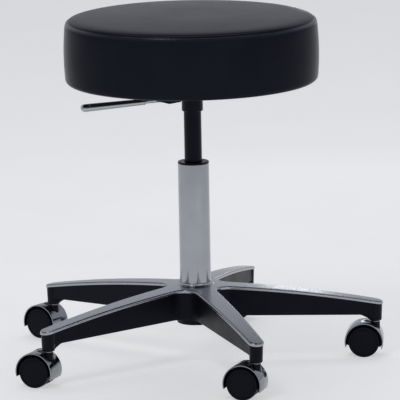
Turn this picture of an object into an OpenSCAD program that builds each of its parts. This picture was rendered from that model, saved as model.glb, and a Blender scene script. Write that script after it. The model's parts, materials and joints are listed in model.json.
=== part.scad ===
// Medical stool: a round boxed cushion on a gas lift, carried by a cast five-leg base
// on hooded twin-wheel casters. Millimetres, Z up, origin on the floor on the column's axis.

/* [Casters] */
// Diameter of each wheel
wheel_d = 50; // [40:1:60]
// Width over both wheels, flush with the hood's rims
caster_w = 40; // [34:1:50]
// Distance from the swivel axis to the wheels' axle
trail = 18.2; // [16:0.2:20]
// Radial room between a wheel and its hood
hood_gap = 3; // [2.5:0.1:5]
// Wall of the chromed hood
hood_t = 2; // [1.2:0.1:2.6]
// How far below the axle the hood ends, ahead of the wheels
hood_lead_drop = 8; // [4:1:11]
// How far below the axle the hood ends, behind the stem
hood_tail_drop = 13; // [9:1:16]
// Thickness of the black web between the wheels
web_t = 11; // [10:0.5:13]
// Diameter of the neck that carries the stem
neck_d = 14.6; // [13:0.1:16]
// Length of the hood's slot, from the stem towards the axle
slot_l = 12; // [8:1:16]
// Diameter of the wheels' axle
axle_d = 6; // [5:0.5:8]
// Diameter of the stem in the base
stem_d = 11; // [9:0.5:12]
// Length of the stem in the base
stem_l = 22; // [18:1:24]
// How far the chromed shoulder ring stands out round the stem
stem_lip = 1.3; // [0.8:0.1:1.8]
// Thickness of the shoulder ring
shoulder_t = 1.5; // [1:0.1:2]
// Clear height between the hood and the leg's boss
hood_boss_gap = 2.5; // [2:0.1:4]

/* [Base] */
// Radius of the circle on which the five stems stand
stem_circle_r = 289.5; // [240:0.5:330]
// Width of a leg's polished top at the stem
leg_tip_w = 25; // [24:0.5:28]
// Width that the leg's edges would reach at the column's axis
leg_root_w = 38.6; // [36:0.2:44]
// Radius of the hollow corner between two legs
crotch_r = 24; // [18:1:32]
// Height of a leg's tip, boss included
tip_h = 34.6; // [32:0.2:38]
// Rise of the polished top from a stem to the column's axis
base_rise = 33.6; // [28:0.2:40]
// Height of the polished edge strip
rim_h = 5; // [4:0.5:6]
// How far the polished strip stands over the black side
rim_over = 3.6; // [2.6:0.2:4.4]
// How far the rim stands out over the bosses
boss_over = 1.7; // [1:0.1:2.2]
// Radius of the bosses' rounded lower edge
boss_round = 3; // [2:0.25:3.5]
// Length of the rib from a boss to the leg's underside
foot_rib_l = 20; // [12:1:26]
// Height of the leg's underside over the boss's end, at the tip
under_tip_h = 11.8; // [9:0.2:13]
// Height of the leg's underside over the boss's end, at the hub
under_root_h = 16.6; // [12:0.2:19]
// Wall of the hollow leg
leg_wall = 4; // [3:0.5:5]
// Skin under the polished top
leg_skin = 3; // [2:0.5:5]
// Wall of the hub round the tube's foot
hub_wall = 6; // [5:0.5:9]
// Height of the hub's end above the bosses' ends
hub_lift = 3.8; // [1:0.2:6]
// Width of the raised ring round the tube's foot
collar_w = 1.6; // [1.2:0.1:2.4]
// Height of the raised ring over the polished top
collar_h = 4.8; // [4.6:0.2:6]
// Radius of the hollow curve from the ring out to the polished top
collar_flare = 4; // [2:0.25:4]

/* [Column] */
// Diameter of the chromed outer tube
tube_d = 50; // [48:0.5:51]
// Wall of the outer tube
tube_wall = 1.5; // [1:0.1:2.5]
// Length of the outer tube
tube_l = 261.8; // [250:0.2:290]
// Length of the tube's tapered foot
foot_taper_l = 62; // [40:1:66]
// How much smaller the tube is at its lower end
foot_taper_d = 2; // [1:0.1:3]
// Height of the guide bush's lip
bush_lip_h = 3; // [2:0.1:6]
// Length of the guide bush inside the tube
bush_l = 76; // [50:1:90]
// Diameter of the gas cylinder
cyl_d = 28; // [26:0.5:30]
// Wall of the gas cylinder
cyl_wall = 2; // [1.5:0.1:3]
// Length of the valve's end of the gas cylinder
valve_l = 69; // [60:1:75]
// Length of the cylinder's tapered end
cyl_taper_l = 34.1; // [28:0.1:38]
// Travel of the lift upwards from where it stands
lift_up = 62; // [40:1:66]
// Travel of the lift downwards from where it stands
lift_down = 78; // [60:1:84]
// Room left between the bush and the socket at the lift's lower end
stop_room = 4; // [2:0.5:8]
// Diameter of the piston rod
rod_d = 10; // [8:0.5:11]

/* [Seat] */
// Greatest diameter of the cushion
seat_d = 410; // [380:1:440]
// Height of the cushion's side, from the underside to the seam
cushion_h = 102.8; // [80:0.2:130]
// Rise of the top panel above its seam
crown = 6; // [2:0.5:12]
// Width of the rounded shoulder outside the seam
shoulder_w = 16.5; // [12:0.5:20]
// Width of the rounded lower corner
corner_w = 14.5; // [12:0.5:17]
// Swell of the side between its corners
side_bulge = 1.5; // [0.5:0.1:3]
// Thickness of the vinyl cover
cover_t = 1.2; // [0.8:0.1:2]
// Diameter of the flat middle of the top panel
flat_d = 120; // [80:1:160]
// How far the plywood board stays inside the cushion's lower corner
board_inset = 2; // [1.5:0.5:8]
// Thickness of the plywood board
board_t = 12; // [10:1:18]
// Side of the square mounting plate
plate_w = 150; // [140:1:200]
// Thickness of the mounting plate
plate_t = 2.5; // [2:0.1:4]
// Distance of a seat screw from the plate's edges
screw_inset = 15; // [13:0.5:20]
// Wall of the taper socket at its mouth
socket_wall = 3; // [2.2:0.1:4]

/* [Lever] */
// Direction of the lever about the column, from the X axis
lever_az = 188; // [150:1:200]
// Angle at which the lever droops
lever_droop = 3.6; // [0:0.1:6]
// Distance from the column's axis to the lever's pivot
pivot_r = 38; // [34:1:46]
// Drop of the pivot below the mounting plate
pivot_drop = 25.3; // [23:0.1:27]
// Diameter of the lever's rod
lever_rod_d = 7; // [6:0.5:8]
// Distance from the column's axis to the handle's inner end
handle_start_r = 75; // [70:1:90]
// Distance from the column's axis to the handle's outer end
handle_end_r = 180; // [150:1:200]
// Width of the handle at its outer end
handle_w = 22; // [16:1:28]
// Thickness of the handle at its outer end
handle_t = 11.6; // [10:0.2:14]

/* [Hidden] */
LEGS = 5;
// Swivel angles of the five casters, the way that each trails
HEADINGS = [174.3, 160, 144.5, 155.9, 161.1];
$fn = 72;

// Fits and clearances
fit = 0.05;
run = 0.1;
end_play = 0.3;
cut = 1;

// Heights of the casters
wheel_r = wheel_d / 2;
hood_in_r = wheel_r + hood_gap;
hood_out_r = hood_in_r + hood_t;
boss_z = wheel_r + hood_out_r + hood_boss_gap;
thrust_gap = 0.15;
shoulder_z = boss_z - thrust_gap - shoulder_t;
shoulder_d = stem_d + 2 * stem_lip;

// Details of the casters
spigot_d = 7;
spigot_l = 22;
groove_w = 2;
groove_depth = 1.1;
groove_drop = 6;
ring_split_w = 3;
lead_in = 0.8;
wheel_side_gap = 0.5;
wheel_face_t = 3;
wheel_edge_r = 2;
wheel_hub_d = 14;
wheel_rim_t = 4.5;
wheel_dish = 7;
face_groove_inset = 4.5;
face_groove_w = 0.7;
tread_gap = 1;
saddle_sink = 0.6;
slot_gap = 0.25;
axle_boss_r = 9;

// Heights and details of the base
tip_z = boss_z + tip_h;
apex_z = tip_z + base_rise;
dome_linear_share = 0.42;
dome_steps = 9;
fillet_steps = 7;
tip_steps = 10;
rim_step_shares = [0.52, 0.2, 0];
rim_inset_shares = [0, 0.4, 1];
rim_round_w = 2.5;
boss_wall_w = 14;
boss_draft = 1.1;
boss_r = leg_tip_w / 2 - boss_over;
boss_low_r = boss_r - boss_draft;
boss_flat_r = boss_low_r - boss_round;
boss_round_steps = 5;
foot_rib_t = 8;
foot_rib_steps = 6;
rib_bite = 1;
rib_t = 2.5;
rib_shares = [0.3, 0.48, 0.66, 0.84];
hub_chamfer = 2;
stem_bore_spare = 1.5;
bore_lead = 0.4;
hub_d = tube_d + 2 * hub_wall;
collar_r = tube_d / 2 + collar_w;
collar_edge = 0.5;
collar_steps = 5;
leg_beta = atan((leg_root_w - leg_tip_w) / 2 / stem_circle_r);
half_sector = 180 / LEGS;
tip_reach = stem_circle_r + leg_tip_w / 2;
hub_z = boss_z + hub_lift;

// Heights of the column
tube_r = tube_d / 2;
tube_proud = 1;
tube_z = hub_z - tube_proud;
tube_top_z = tube_z + tube_l;
bush_top_z = tube_top_z + bush_lip_h;
floor_t = 2;
floor_hole_r = 15;
end_plate_t = 4;
end_plate_z = tube_z + floor_t;
washer_t = 2;
washer_r = 13;
ball_d = 4;
ball_sink = 0.8;
ball_circle_r = 9;
BALLS = 12;
washer_lo_z = end_plate_z + end_plate_t;
ball_z = washer_lo_z + washer_t - ball_sink + ball_d / 2;
washer_hi_z = ball_z + ball_d / 2 - ball_sink;
rod_shoulder_z = washer_hi_z + washer_t;
rod_tail_d = 8;
clip_t = 1.2;
clip_z = end_plate_z - end_play - clip_t;
clip_r = 9;
clip_mouth_w = 5;
clip_depth = 0.9;
tail_spare = 2;
bumper_r = 11;
bumper_h = 12;
bush_edge = 1.2;
bush_dish = 1;

// Gas cylinder
cyl_r = cyl_d / 2;
cyl_taper_angle = 1.44;
cyl_end_r = cyl_r - cyl_taper_l * tan(cyl_taper_angle);
socket_z = bush_top_z + lift_down + stop_room;
cyl_top_z = socket_z + cyl_taper_l;
cyl_bore_r = cyl_r - cyl_wall;
seal_h = 22;
piston_h = 13;
piston_play = 1;
cavity_l = lift_up + lift_down + piston_h + 2 * piston_play;
cyl_l = seal_h + cavity_l + valve_l;
cyl_z = cyl_top_z - cyl_l;
cavity_z = cyl_z + seal_h;
piston_z = cavity_z + lift_up + piston_play;
pin_d = 6;
pin_in = 18;
pin_proud = 5.7;
pin_travel = 3;
pin_z = cyl_top_z - pin_in;
pin_top_z = cyl_top_z + pin_proud;

// Under the seat
tongue_t = 4;
tongue_w = 10;
tongue_gap = 0.1;
tongue_plate_gap = 1.2;
tongue_z = pin_top_z + tongue_gap;
plate_z = tongue_z + tongue_t + tongue_plate_gap;
dust_t = 0.5;
seat_z = plate_z + plate_t + dust_t;
socket_d = cyl_d + 2 * socket_wall;
gusset_sink = 0.7;
gusset_t = 3;
gusset_h = 15;
gusset_w = 20;
plate_corner_r = 12;
plate_eye_r = 9;
screw_d = 6;
screw_hole_d = 6.6;
screw_head_d = 11.5;
screw_head_h = 4;
screw_bite = 9;
screw_pitch = plate_w - 2 * screw_inset;
tnut_flange_d = 18;
tnut_flange_t = 1.2;
tnut_barrel_d = 7.8;
board_z = seat_z + cover_t;
soft_gap = 0.1;
turn_in = 22;
dust_lap = 5;

// Lever
pivot_z = plate_z - pivot_drop;
pivot_pin_d = 5;
pivot_head_d = 8;
pivot_head_h = 1.5;
sleeve_d = 11;
sleeve_w = 12;
ear_t = 2.5;
ear_gap = 0.3;
ear_r = 6.4;
ear_in_l = 19;
ear_out_l = 21;
ear_in_drop = 3.8;
ear_out_drop = 0.9;
ear_in_r = pivot_r - ear_in_l;
ear_out_r = pivot_r + ear_out_l;
crank_gap = 1.9;
crank_r = socket_d / 2 + crank_gap + lever_rod_d / 2;
crank_drop = 1;
crank_z = tongue_z + tongue_t - crank_drop - lever_rod_d / 2;
web_gap = 1;
web_in_r = crank_r + lever_rod_d / 2 + web_gap;
handle_in_share = 0.75;
handle_bite = 30;
tongue_drop = 3;

// Cushion
side_end_r = seat_d / 2 - side_bulge;
seam_r = side_end_r - shoulder_w;
seam_z = seat_z + cushion_h;
board_d = 2 * (side_end_r - corner_w - board_inset);
flange_in_d = board_d - 2 * turn_in;
dust_d = flange_in_d + 2 * dust_lap;
seam_depth = 0.8;
seam_w = 1.6;
crown_steps = 8;
round_steps = 7;
side_steps = 8;

// Points of the star outline for one leg, drawn in by d
function arc(cx, cy, r, a0, a1, steps) =
    [for (i = [0 : steps]) let (a = a0 + (a1 - a0) * i / steps) [cx + r * cos(a), cy + r * sin(a)]];
crotch_dc = (crotch_r + leg_root_w / 2 * cos(leg_beta)) / sin(half_sector + leg_beta);
function leg_outline(d) = concat(
    arc(crotch_dc * cos(half_sector), -crotch_dc * sin(half_sector), crotch_r + d,
        180 - half_sector, 90 + leg_beta, fillet_steps),
    arc(stem_circle_r, 0, leg_tip_w / 2 * cos(leg_beta) - d, leg_beta - 90, 90 - leg_beta, tip_steps),
    [for (i = [0 : fillet_steps - 1]) arc(crotch_dc * cos(half_sector), crotch_dc * sin(half_sector),
        crotch_r + d, 270 - leg_beta, 180 + half_sector, fillet_steps)[i]]
);
function turned(p, a) = [p[0] * cos(a) - p[1] * sin(a), p[0] * sin(a) + p[1] * cos(a)];
function star_outline(d) =
    [for (k = [0 : LEGS - 1]) for (p = leg_outline(d)) turned(p, k * 2 * half_sector)];

// Height of the polished top at radius r
function dome_z(r) = apex_z - base_rise
    * (dome_linear_share * r / stem_circle_r + (1 - dome_linear_share) * pow(r / stem_circle_r, 2));
// Height of the legs' underside at radius r
function under_z(r) = boss_z + under_root_h + (under_tip_h - under_root_h) * r / stem_circle_r;
function dome_line(r0, r1, drop) =
    [for (i = [0 : dome_steps]) let (r = r0 + (r1 - r0) * i / dome_steps) [r, dome_z(r) - drop]];
// Radius of the tube's outside at its foot
tube_foot_r = tube_r - foot_taper_d / 2;

module star(d) {
    polygon(star_outline(d));
}

// Everything between two lines over the radius, all round
module ring_between(r0, r1, drop, floor_points) {
    rotate_extrude()
        polygon(concat(dome_line(r0, r1, drop), floor_points));
}

module rim_layer(step) {
    inset = rim_inset_shares[step] * rim_round_w;
    drop = rim_step_shares[step] * rim_round_w;
    intersection() {
        translate([0, 0, boss_z])
            linear_extrude(apex_z - boss_z + cut)
                star(inset);
        ring_between(0, tip_reach + cut, drop,
            [[tip_reach + cut, dome_z(tip_reach + cut) - rim_h], [tip_reach, dome_z(tip_reach) - rim_h],
             [stem_circle_r / 2, dome_z(stem_circle_r / 2) - rim_h], [0, dome_z(0) - rim_h]]);
    }
}

module black_legs() {
    intersection() {
        translate([0, 0, boss_z])
            linear_extrude(apex_z - boss_z)
                star(rim_over);
        ring_between(0, tip_reach, rim_h - rim_round_w / 2,
                     [[tip_reach, under_z(tip_reach)], [0, under_z(0)]]);
    }
}

// Boss round a stem, with a little draft and a rounded lower edge
module boss() {
    top = dome_z(stem_circle_r - boss_r) - rim_h;
    translate([stem_circle_r, 0, 0])
        rotate_extrude()
            polygon(concat([[0, boss_z]],
                           arc(boss_flat_r, boss_z + boss_round, boss_round, -90, 0, boss_round_steps),
                           [[boss_r, top], [0, top]]));
}

// Rib from the boss's end up to the leg's underside, in a hollow curve that ends along the underside
module foot_rib() {
    start = stem_circle_r - boss_flat_r;
    end = start - foot_rib_l;
    top = rim_h + leg_skin - rib_bite;
    translate([0, foot_rib_t / 2, 0])
        rotate([90, 0, 0])
            linear_extrude(foot_rib_t)
                polygon(concat([[stem_circle_r, boss_z]],
                    [for (i = [0 : foot_rib_steps])
                        let (s = i / foot_rib_steps, r = start - foot_rib_l * s)
                        [r, boss_z + (under_z(end) - boss_z) * (1 - pow(1 - s, 2))]],
                    [[end, dome_z(end) - top], [stem_circle_r, dome_z(stem_circle_r) - top]]));
}

module hollow_legs() {
    r_in = hub_d / 2 + leg_wall;
    r_out = stem_circle_r - boss_wall_w;
    stops = concat([r_in - rib_t / 2], [for (s = rib_shares) s * stem_circle_r], [r_out + rib_t / 2]);
    intersection() {
        translate([0, 0, boss_z])
            linear_extrude(apex_z - boss_z)
                star(rim_over + leg_wall);
        union() {
            for (i = [0 : len(stops) - 2]) {
                r0 = stops[i] + rib_t / 2;
                r1 = stops[i + 1] - rib_t / 2;
                roof = rim_h + leg_skin;
                rotate_extrude()
                    polygon([[r0, boss_z], [r1, boss_z], [r1, dome_z(r1) - roof], [r0, dome_z(r0) - roof]]);
            }
        }
    }
}

// Outside of the tube and bore of the hub, grown by gap
module tube_shape(gap, z0, z1) {
    taper_z = tube_z + foot_taper_l;
    rotate_extrude()
        polygon([[0, z0], [tube_foot_r + gap, z0], [tube_foot_r + gap, tube_z],
                 [tube_r + gap, taper_z], [tube_r + gap, z1], [0, z1]]);
}

// Ring round the tube's foot, flaring out to the polished top
module collar() {
    flare_r = collar_r + collar_flare;
    top = dome_z(collar_r) + collar_h;
    rotate_extrude()
        polygon(concat([[0, dome_z(0) - rim_h], [flare_r, dome_z(flare_r) - rim_h]],
            arc(flare_r, dome_z(flare_r) + collar_flare, collar_flare, 270, 180, collar_steps),
            [[collar_r, top - collar_edge], [collar_r - collar_edge, top], [0, top]]));
}

module star_base() {
    color("#8c9094")
        difference() {
            union() {
                difference() {
                    union() {
                        black_legs();
                        for (step = [0 : len(rim_step_shares) - 1])
                            rim_layer(step);
                    }
                    hollow_legs();
                }
                for (k = [0 : LEGS - 1])
                    rotate(k * 2 * half_sector) {
                        boss();
                        foot_rib();
                    }
                translate([0, 0, hub_z])
                    cylinder(h = hub_chamfer, r1 = hub_d / 2 - hub_chamfer, r2 = hub_d / 2);
                translate([0, 0, hub_z + hub_chamfer])
                    cylinder(h = dome_z(hub_d / 2) - rim_h - hub_z - hub_chamfer, r = hub_d / 2);
                collar();
            }
            tube_shape(fit, hub_z - cut, apex_z + collar_h + cut);
            for (k = [0 : LEGS - 1])
                rotate(k * 2 * half_sector)
                    translate([stem_circle_r, 0, boss_z]) {
                        translate([0, 0, -cut])
                            cylinder(h = stem_l + stem_bore_spare + cut, d = stem_d + 2 * run);
                        translate([0, 0, -fit])
                            cylinder(h = bore_lead + fit, r1 = stem_d / 2 + run + bore_lead,
                                     r2 = stem_d / 2 + run);
                    }
        }
}

// Split rings that hold the stems, sprung out against the bosses
module grip_rings() {
    ring_z = boss_z + stem_l - groove_drop;
    color("#9a9da0")
        for (k = [0 : LEGS - 1])
            rotate(k * 2 * half_sector)
                translate([stem_circle_r, 0, ring_z - groove_w / 2 + end_play])
                    difference() {
                        cylinder(h = groove_w - 2 * end_play, r = stem_d / 2 + run - fit / 2);
                        translate([0, 0, -cut])
                            cylinder(h = groove_w + cut, r = stem_d / 2 - groove_depth + end_play);
                        translate([-ring_split_w / 2, 0, -cut])
                            cube([ring_split_w, stem_d, groove_w + 2 * cut]);
                    }
}

module column_tube() {
    taper_z = tube_z + foot_taper_l;
    color("#c4c8cc")
        difference() {
            tube_shape(0, tube_z, tube_top_z);
            rotate_extrude()
                polygon([[0, end_plate_z], [tube_foot_r - tube_wall, end_plate_z],
                         [tube_r - tube_wall, taper_z], [tube_r - tube_wall, tube_top_z + cut],
                         [0, tube_top_z + cut]]);
            translate([0, 0, tube_z - cut])
                cylinder(h = floor_t + 2 * cut, r = floor_hole_r);
        }
}

module column_end_plate() {
    color("#6a6e72")
        translate([0, 0, end_plate_z])
            difference() {
                cylinder(h = end_plate_t, r = tube_foot_r - tube_wall - fit);
                translate([0, 0, -cut])
                    cylinder(h = end_plate_t + 2 * cut, r = rod_tail_d / 2 + end_play);
            }
}

module column_guide_bush() {
    color("#17181b")
        rotate_extrude()
            polygon([[cyl_r + run, tube_top_z - bush_l], [tube_r - tube_wall - fit, tube_top_z - bush_l],
                     [tube_r - tube_wall - fit, tube_top_z], [tube_r, tube_top_z],
                     [tube_r, bush_top_z - bush_edge], [tube_r - bush_edge, bush_top_z],
                     [cyl_r + bush_edge + bush_dish, bush_top_z], [cyl_r + run, bush_top_z - bush_dish]]);
}

// Race with its ball groove on one side; side is 1 for a groove on top and -1 for one below
module race(z, side, gap) {
    difference() {
        translate([0, 0, z])
            cylinder(h = washer_t, r = washer_r);
        translate([0, 0, z - cut])
            cylinder(h = washer_t + 2 * cut, r = rod_tail_d / 2 + (side > 0 ? end_play : fit));
        translate([0, 0, ball_z])
            rotate_extrude()
                translate([ball_circle_r, 0])
                    circle(d = ball_d + 2 * gap);
    }
}

module thrust_washer_lower() {
    color("#8f9396")
        race(washer_lo_z, 1, fit);
}

module thrust_washer_upper() {
    color("#8f9396")
        race(washer_hi_z, -1, end_play);
}

module thrust_balls() {
    color("#b9bcc0")
        for (i = [0 : BALLS - 1])
            rotate(i * 360 / BALLS)
                translate([ball_circle_r, 0, ball_z])
                    sphere(d = ball_d);
}

module rubber_bumper() {
    color("#202124")
        translate([0, 0, rod_shoulder_z])
            difference() {
                cylinder(h = bumper_h, r = bumper_r);
                translate([0, 0, -cut])
                    cylinder(h = bumper_h + 2 * cut, r = rod_d / 2 + fit);
            }
}

module rod_clip() {
    color("#55585b")
        translate([0, 0, clip_z])
            difference() {
                cylinder(h = clip_t, r = clip_r);
                translate([0, 0, -cut])
                    cylinder(h = clip_t + 2 * cut, r = rod_tail_d / 2 - clip_depth + fit);
                translate([0, -clip_mouth_w / 2, -cut])
                    cube([clip_r + cut, clip_mouth_w, clip_t + 2 * cut]);
            }
}

module piston_rod() {
    tail_z = clip_z - tail_spare;
    color("#aeb2b6")
        difference() {
            union() {
                translate([0, 0, tail_z])
                    cylinder(h = rod_shoulder_z - tail_z, d = rod_tail_d);
                translate([0, 0, rod_shoulder_z])
                    cylinder(h = piston_z + piston_h - rod_shoulder_z, d = rod_d);
            }
            translate([0, 0, clip_z - fit])
                difference() {
                    cylinder(h = clip_t + 2 * fit, d = rod_d);
                    translate([0, 0, -cut])
                        cylinder(h = clip_t + 2 * cut, r = rod_tail_d / 2 - clip_depth);
                }
        }
}

module piston() {
    color("#2a2c2f")
        translate([0, 0, piston_z])
            difference() {
                cylinder(h = piston_h, r = cyl_bore_r - run);
                translate([0, 0, -cut])
                    cylinder(h = piston_h + 2 * cut, r = rod_d / 2 + fit / 2);
            }
}

module gas_cylinder() {
    color("#1b1c1f")
        difference() {
            union() {
                translate([0, 0, cyl_z])
                    cylinder(h = cyl_l - cyl_taper_l, r = cyl_r);
                translate([0, 0, socket_z])
                    cylinder(h = cyl_taper_l, r1 = cyl_r, r2 = cyl_end_r);
            }
            translate([0, 0, cyl_z - cut])
                cylinder(h = seal_h + cavity_l + cut, r = cyl_bore_r);
            translate([0, 0, pin_z - pin_travel - cut])
                cylinder(h = pin_in + pin_travel + 2 * cut, r = pin_d / 2 + run);
        }
}

module cylinder_seal() {
    color("#2c2e31")
        translate([0, 0, cyl_z])
            difference() {
                cylinder(h = seal_h, r = cyl_bore_r - fit / 2);
                translate([0, 0, -cut])
                    cylinder(h = seal_h + 2 * cut, r = rod_d / 2 + run);
            }
}

module release_pin() {
    color("#b5b8bb")
        translate([0, 0, pin_z])
            cylinder(h = pin_in + pin_proud, d = pin_d);
}

module taper_socket() {
    socket_h = plate_z - socket_z;
    notch_z = tongue_z - tongue_drop - end_play;
    notch_w = tongue_w + 2 * cut;
    color("#1a1b1e")
        difference() {
            union() {
                translate([0, 0, socket_z])
                    cylinder(h = lead_in, r1 = socket_d / 2 - lead_in, r2 = socket_d / 2);
                translate([0, 0, socket_z + lead_in])
                    cylinder(h = socket_h - lead_in, d = socket_d);
                for (a = [45 : 90 : 315])
                    rotate(a)
                        translate([socket_d / 2 - gusset_sink, gusset_t / 2, plate_z])
                            rotate([90, 0, 0])
                                linear_extrude(gusset_t)
                                    polygon([[0, 0], [gusset_w, 0], [0, -gusset_h]]);
            }
            translate([0, 0, socket_z - fit])
                cylinder(h = cyl_taper_l + fit, r1 = cyl_r + fit, r2 = cyl_end_r + fit);
            translate([0, 0, cyl_top_z - fit])
                cylinder(h = socket_h, r = cyl_end_r + fit);
            rotate(lever_az)
                translate([0, -notch_w / 2, notch_z])
                    cube([socket_d, notch_w, socket_h]);
        }
}

module seat_plate() {
    core = plate_w / 2 - plate_corner_r;
    color("#1d1e21")
        translate([0, 0, plate_z])
            difference() {
                union() {
                    for (x = [-core, core], y = [-core, core])
                        translate([x, y, 0])
                            cylinder(h = plate_t, r = plate_corner_r);
                    translate([-plate_w / 2, -core, 0])
                        cube([plate_w, 2 * core, plate_t]);
                    translate([-core, -plate_w / 2, 0])
                        cube([2 * core, plate_w, plate_t]);
                }
                translate([0, 0, -cut])
                    cylinder(h = plate_t + 2 * cut, r = plate_eye_r);
                at_screws()
                    translate([0, 0, -cut])
                        cylinder(h = plate_t + 2 * cut, d = screw_hole_d);
            }
}

module at_screws() {
    for (x = [-screw_pitch / 2, screw_pitch / 2], y = [-screw_pitch / 2, screw_pitch / 2])
        translate([x, y, 0])
            children();
}

// Moves a shape drawn with X outwards and Y up into the lever's upright plane
module in_lever_plane(thickness) {
    rotate(lever_az)
        translate([0, thickness / 2, 0])
            rotate([90, 0, 0])
                linear_extrude(thickness)
                    children();
}

module lever_bracket() {
    gap_w = sleeve_w + 2 * ear_gap;
    color("#18191c")
        difference() {
            in_lever_plane(gap_w + 2 * ear_t) {
                translate([pivot_r, pivot_z])
                    circle(r = ear_r);
                polygon([[ear_in_r, plate_z], [ear_in_r, pivot_z - ear_in_drop], [pivot_r, pivot_z - ear_r],
                         [ear_out_r, pivot_z - ear_out_drop], [ear_out_r, plate_z]]);
            }
            in_lever_plane(gap_w) {
                translate([0, pivot_z - 2 * ear_r])
                    square([ear_out_r * 2, plate_z - ear_t - pivot_z + 2 * ear_r]);
                translate([0, pivot_z])
                    square([web_in_r, plate_z - pivot_z + cut]);
            }
            in_lever_plane(gap_w + 2 * ear_t + 2 * cut)
                translate([pivot_r, pivot_z])
                    circle(d = pivot_pin_d + 2 * fit);
        }
}

module lever_pivot() {
    pin_l = sleeve_w + 2 * ear_gap + 2 * ear_t;
    color("#a6aaad")
        rotate(lever_az)
            translate([pivot_r, -pin_l / 2, pivot_z])
                rotate([-90, 0, 0]) {
                    cylinder(h = pin_l, d = pivot_pin_d);
                    translate([0, 0, -pivot_head_h])
                        cylinder(h = pivot_head_h, d = pivot_head_d);
                    translate([0, 0, pin_l])
                        cylinder(h = pivot_head_h, d = pivot_head_d);
                }
}

// Round bar between two points of the lever's plane, with the bend's slightly fuller ball at its start
module lever_bar(p, q, d) {
    span = norm(q - p);
    angle = atan2(q[1] - p[1], q[0] - p[0]);
    translate([p[0], 0, p[1]]) {
        sphere(d = d + 2 * fit);
        rotate([0, 90 - angle, 0])
            cylinder(h = span, d = d);
    }
}

handle_start = [handle_start_r, pivot_z - (handle_start_r - pivot_r) * tan(lever_droop)];
handle_end = [handle_end_r, pivot_z - (handle_end_r - pivot_r) * tan(lever_droop)];

module lever_rod() {
    bite_end = handle_start + handle_bite * [cos(lever_droop), -sin(lever_droop)];
    color("#c2c6ca")
        rotate(lever_az)
            difference() {
                union() {
                    lever_bar([crank_r, crank_z], [pivot_r, pivot_z], lever_rod_d);
                    lever_bar([pivot_r, pivot_z], bite_end, lever_rod_d);
                    translate([pivot_r, sleeve_w / 2, pivot_z])
                        rotate([90, 0, 0])
                            cylinder(h = sleeve_w, d = sleeve_d);
                    translate([0, -tongue_w / 2, tongue_z])
                        cube([crank_r + lever_rod_d / 2, tongue_w, tongue_t]);
                    translate([0, 0, tongue_z])
                        cylinder(h = tongue_t, d = tongue_w);
                }
                translate([pivot_r, sleeve_w / 2 + cut, pivot_z])
                    rotate([90, 0, 0])
                        cylinder(h = sleeve_w + 2 * cut, d = pivot_pin_d + 2 * run);
            }
}

// Flat oval end of the handle, a short stack of rounded bars side by side
module handle_end_form(p, w, t) {
    for (side = [-1, 1])
        translate([p[0], side * (w - t) / 2, p[1]])
            sphere(d = t, $fn = 32);
}

module lever_handle() {
    in_w = handle_w * handle_in_share;
    in_t = handle_t * handle_in_share;
    tip_back = handle_t / 2;
    end_point = handle_end - tip_back * [cos(lever_droop), -sin(lever_droop)];
    start_point = handle_start + in_t / 2 * [cos(lever_droop), -sin(lever_droop)];
    color("#c2c6ca")
        rotate(lever_az)
            difference() {
                hull() {
                    handle_end_form(start_point, in_w, in_t);
                    handle_end_form(end_point, handle_w, handle_t);
                }
                translate([handle_start[0], 0, handle_start[1]])
                    rotate([0, 90 + lever_droop, 0])
                        translate([0, 0, -in_t])
                            cylinder(h = handle_bite + in_t + end_play, d = lever_rod_d + 2 * fit);
            }
}

module seat_screws() {
    shank_l = plate_t + dust_t + cover_t + screw_bite;
    color("#b0b3b6")
        at_screws() {
            translate([0, 0, plate_z - screw_head_h])
                cylinder(h = screw_head_h, d = screw_head_d, $fn = 6);
            translate([0, 0, plate_z])
                cylinder(h = shank_l, d = screw_d);
        }
}

module t_nuts() {
    top_z = board_z + board_t;
    color("#a8abae")
        at_screws()
            difference() {
                union() {
                    translate([0, 0, top_z])
                        cylinder(h = tnut_flange_t, d = tnut_flange_d);
                    translate([0, 0, board_z])
                        cylinder(h = board_t, d = tnut_barrel_d);
                }
                translate([0, 0, board_z - cut])
                    cylinder(h = board_t + tnut_flange_t + 2 * cut, d = screw_d + 2 * fit);
            }
}

module seat_board() {
    color("#c9a56f")
        translate([0, 0, board_z])
            difference() {
                cylinder(h = board_t, d = board_d);
                at_screws()
                    translate([0, 0, -cut])
                        cylinder(h = board_t + 2 * cut, d = tnut_barrel_d + 2 * fit);
            }
}

// Outline of the cushion from its middle down to the underside, drawn in by d
function cushion_line(d) = concat(
    [[0, seam_z + crown - d]],
    [for (i = [0 : crown_steps]) let (s = i / crown_steps)
        [flat_d / 2 + (seam_r - flat_d / 2) * s, seam_z + crown * (1 - s * s) - d]],
    [for (i = [1 : round_steps]) let (a = 90 - 90 * i / round_steps)
        [seam_r + (shoulder_w - d) * cos(a), seam_z - shoulder_w + (shoulder_w - d) * sin(a)]],
    [for (i = [1 : side_steps]) let (s = 2 * i / side_steps - 1)
        [side_end_r - d + side_bulge * (1 - s * s),
         seam_z - shoulder_w - (cushion_h - shoulder_w - corner_w) * (s + 1) / 2]],
    [for (i = [1 : round_steps]) let (a = 90 * i / round_steps)
        [side_end_r - corner_w + (corner_w - d) * cos(a), seat_z + corner_w - (corner_w - d) * sin(a)]]
);
function reversed(list) = [for (i = [len(list) - 1 : -1 : 0]) list[i]];

module seat_cover() {
    color("#26272c")
        difference() {
            rotate_extrude()
                polygon(concat(cushion_line(0),
                               [[flange_in_d / 2, seat_z], [flange_in_d / 2, seat_z + cover_t]],
                               reversed(cushion_line(cover_t))));
            translate([0, 0, seam_z])
                rotate_extrude()
                    polygon([[seam_r - seam_w / 2, seam_depth], [seam_r, -seam_depth],
                             [seam_r + seam_w / 2, seam_depth]]);
        }
}

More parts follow.
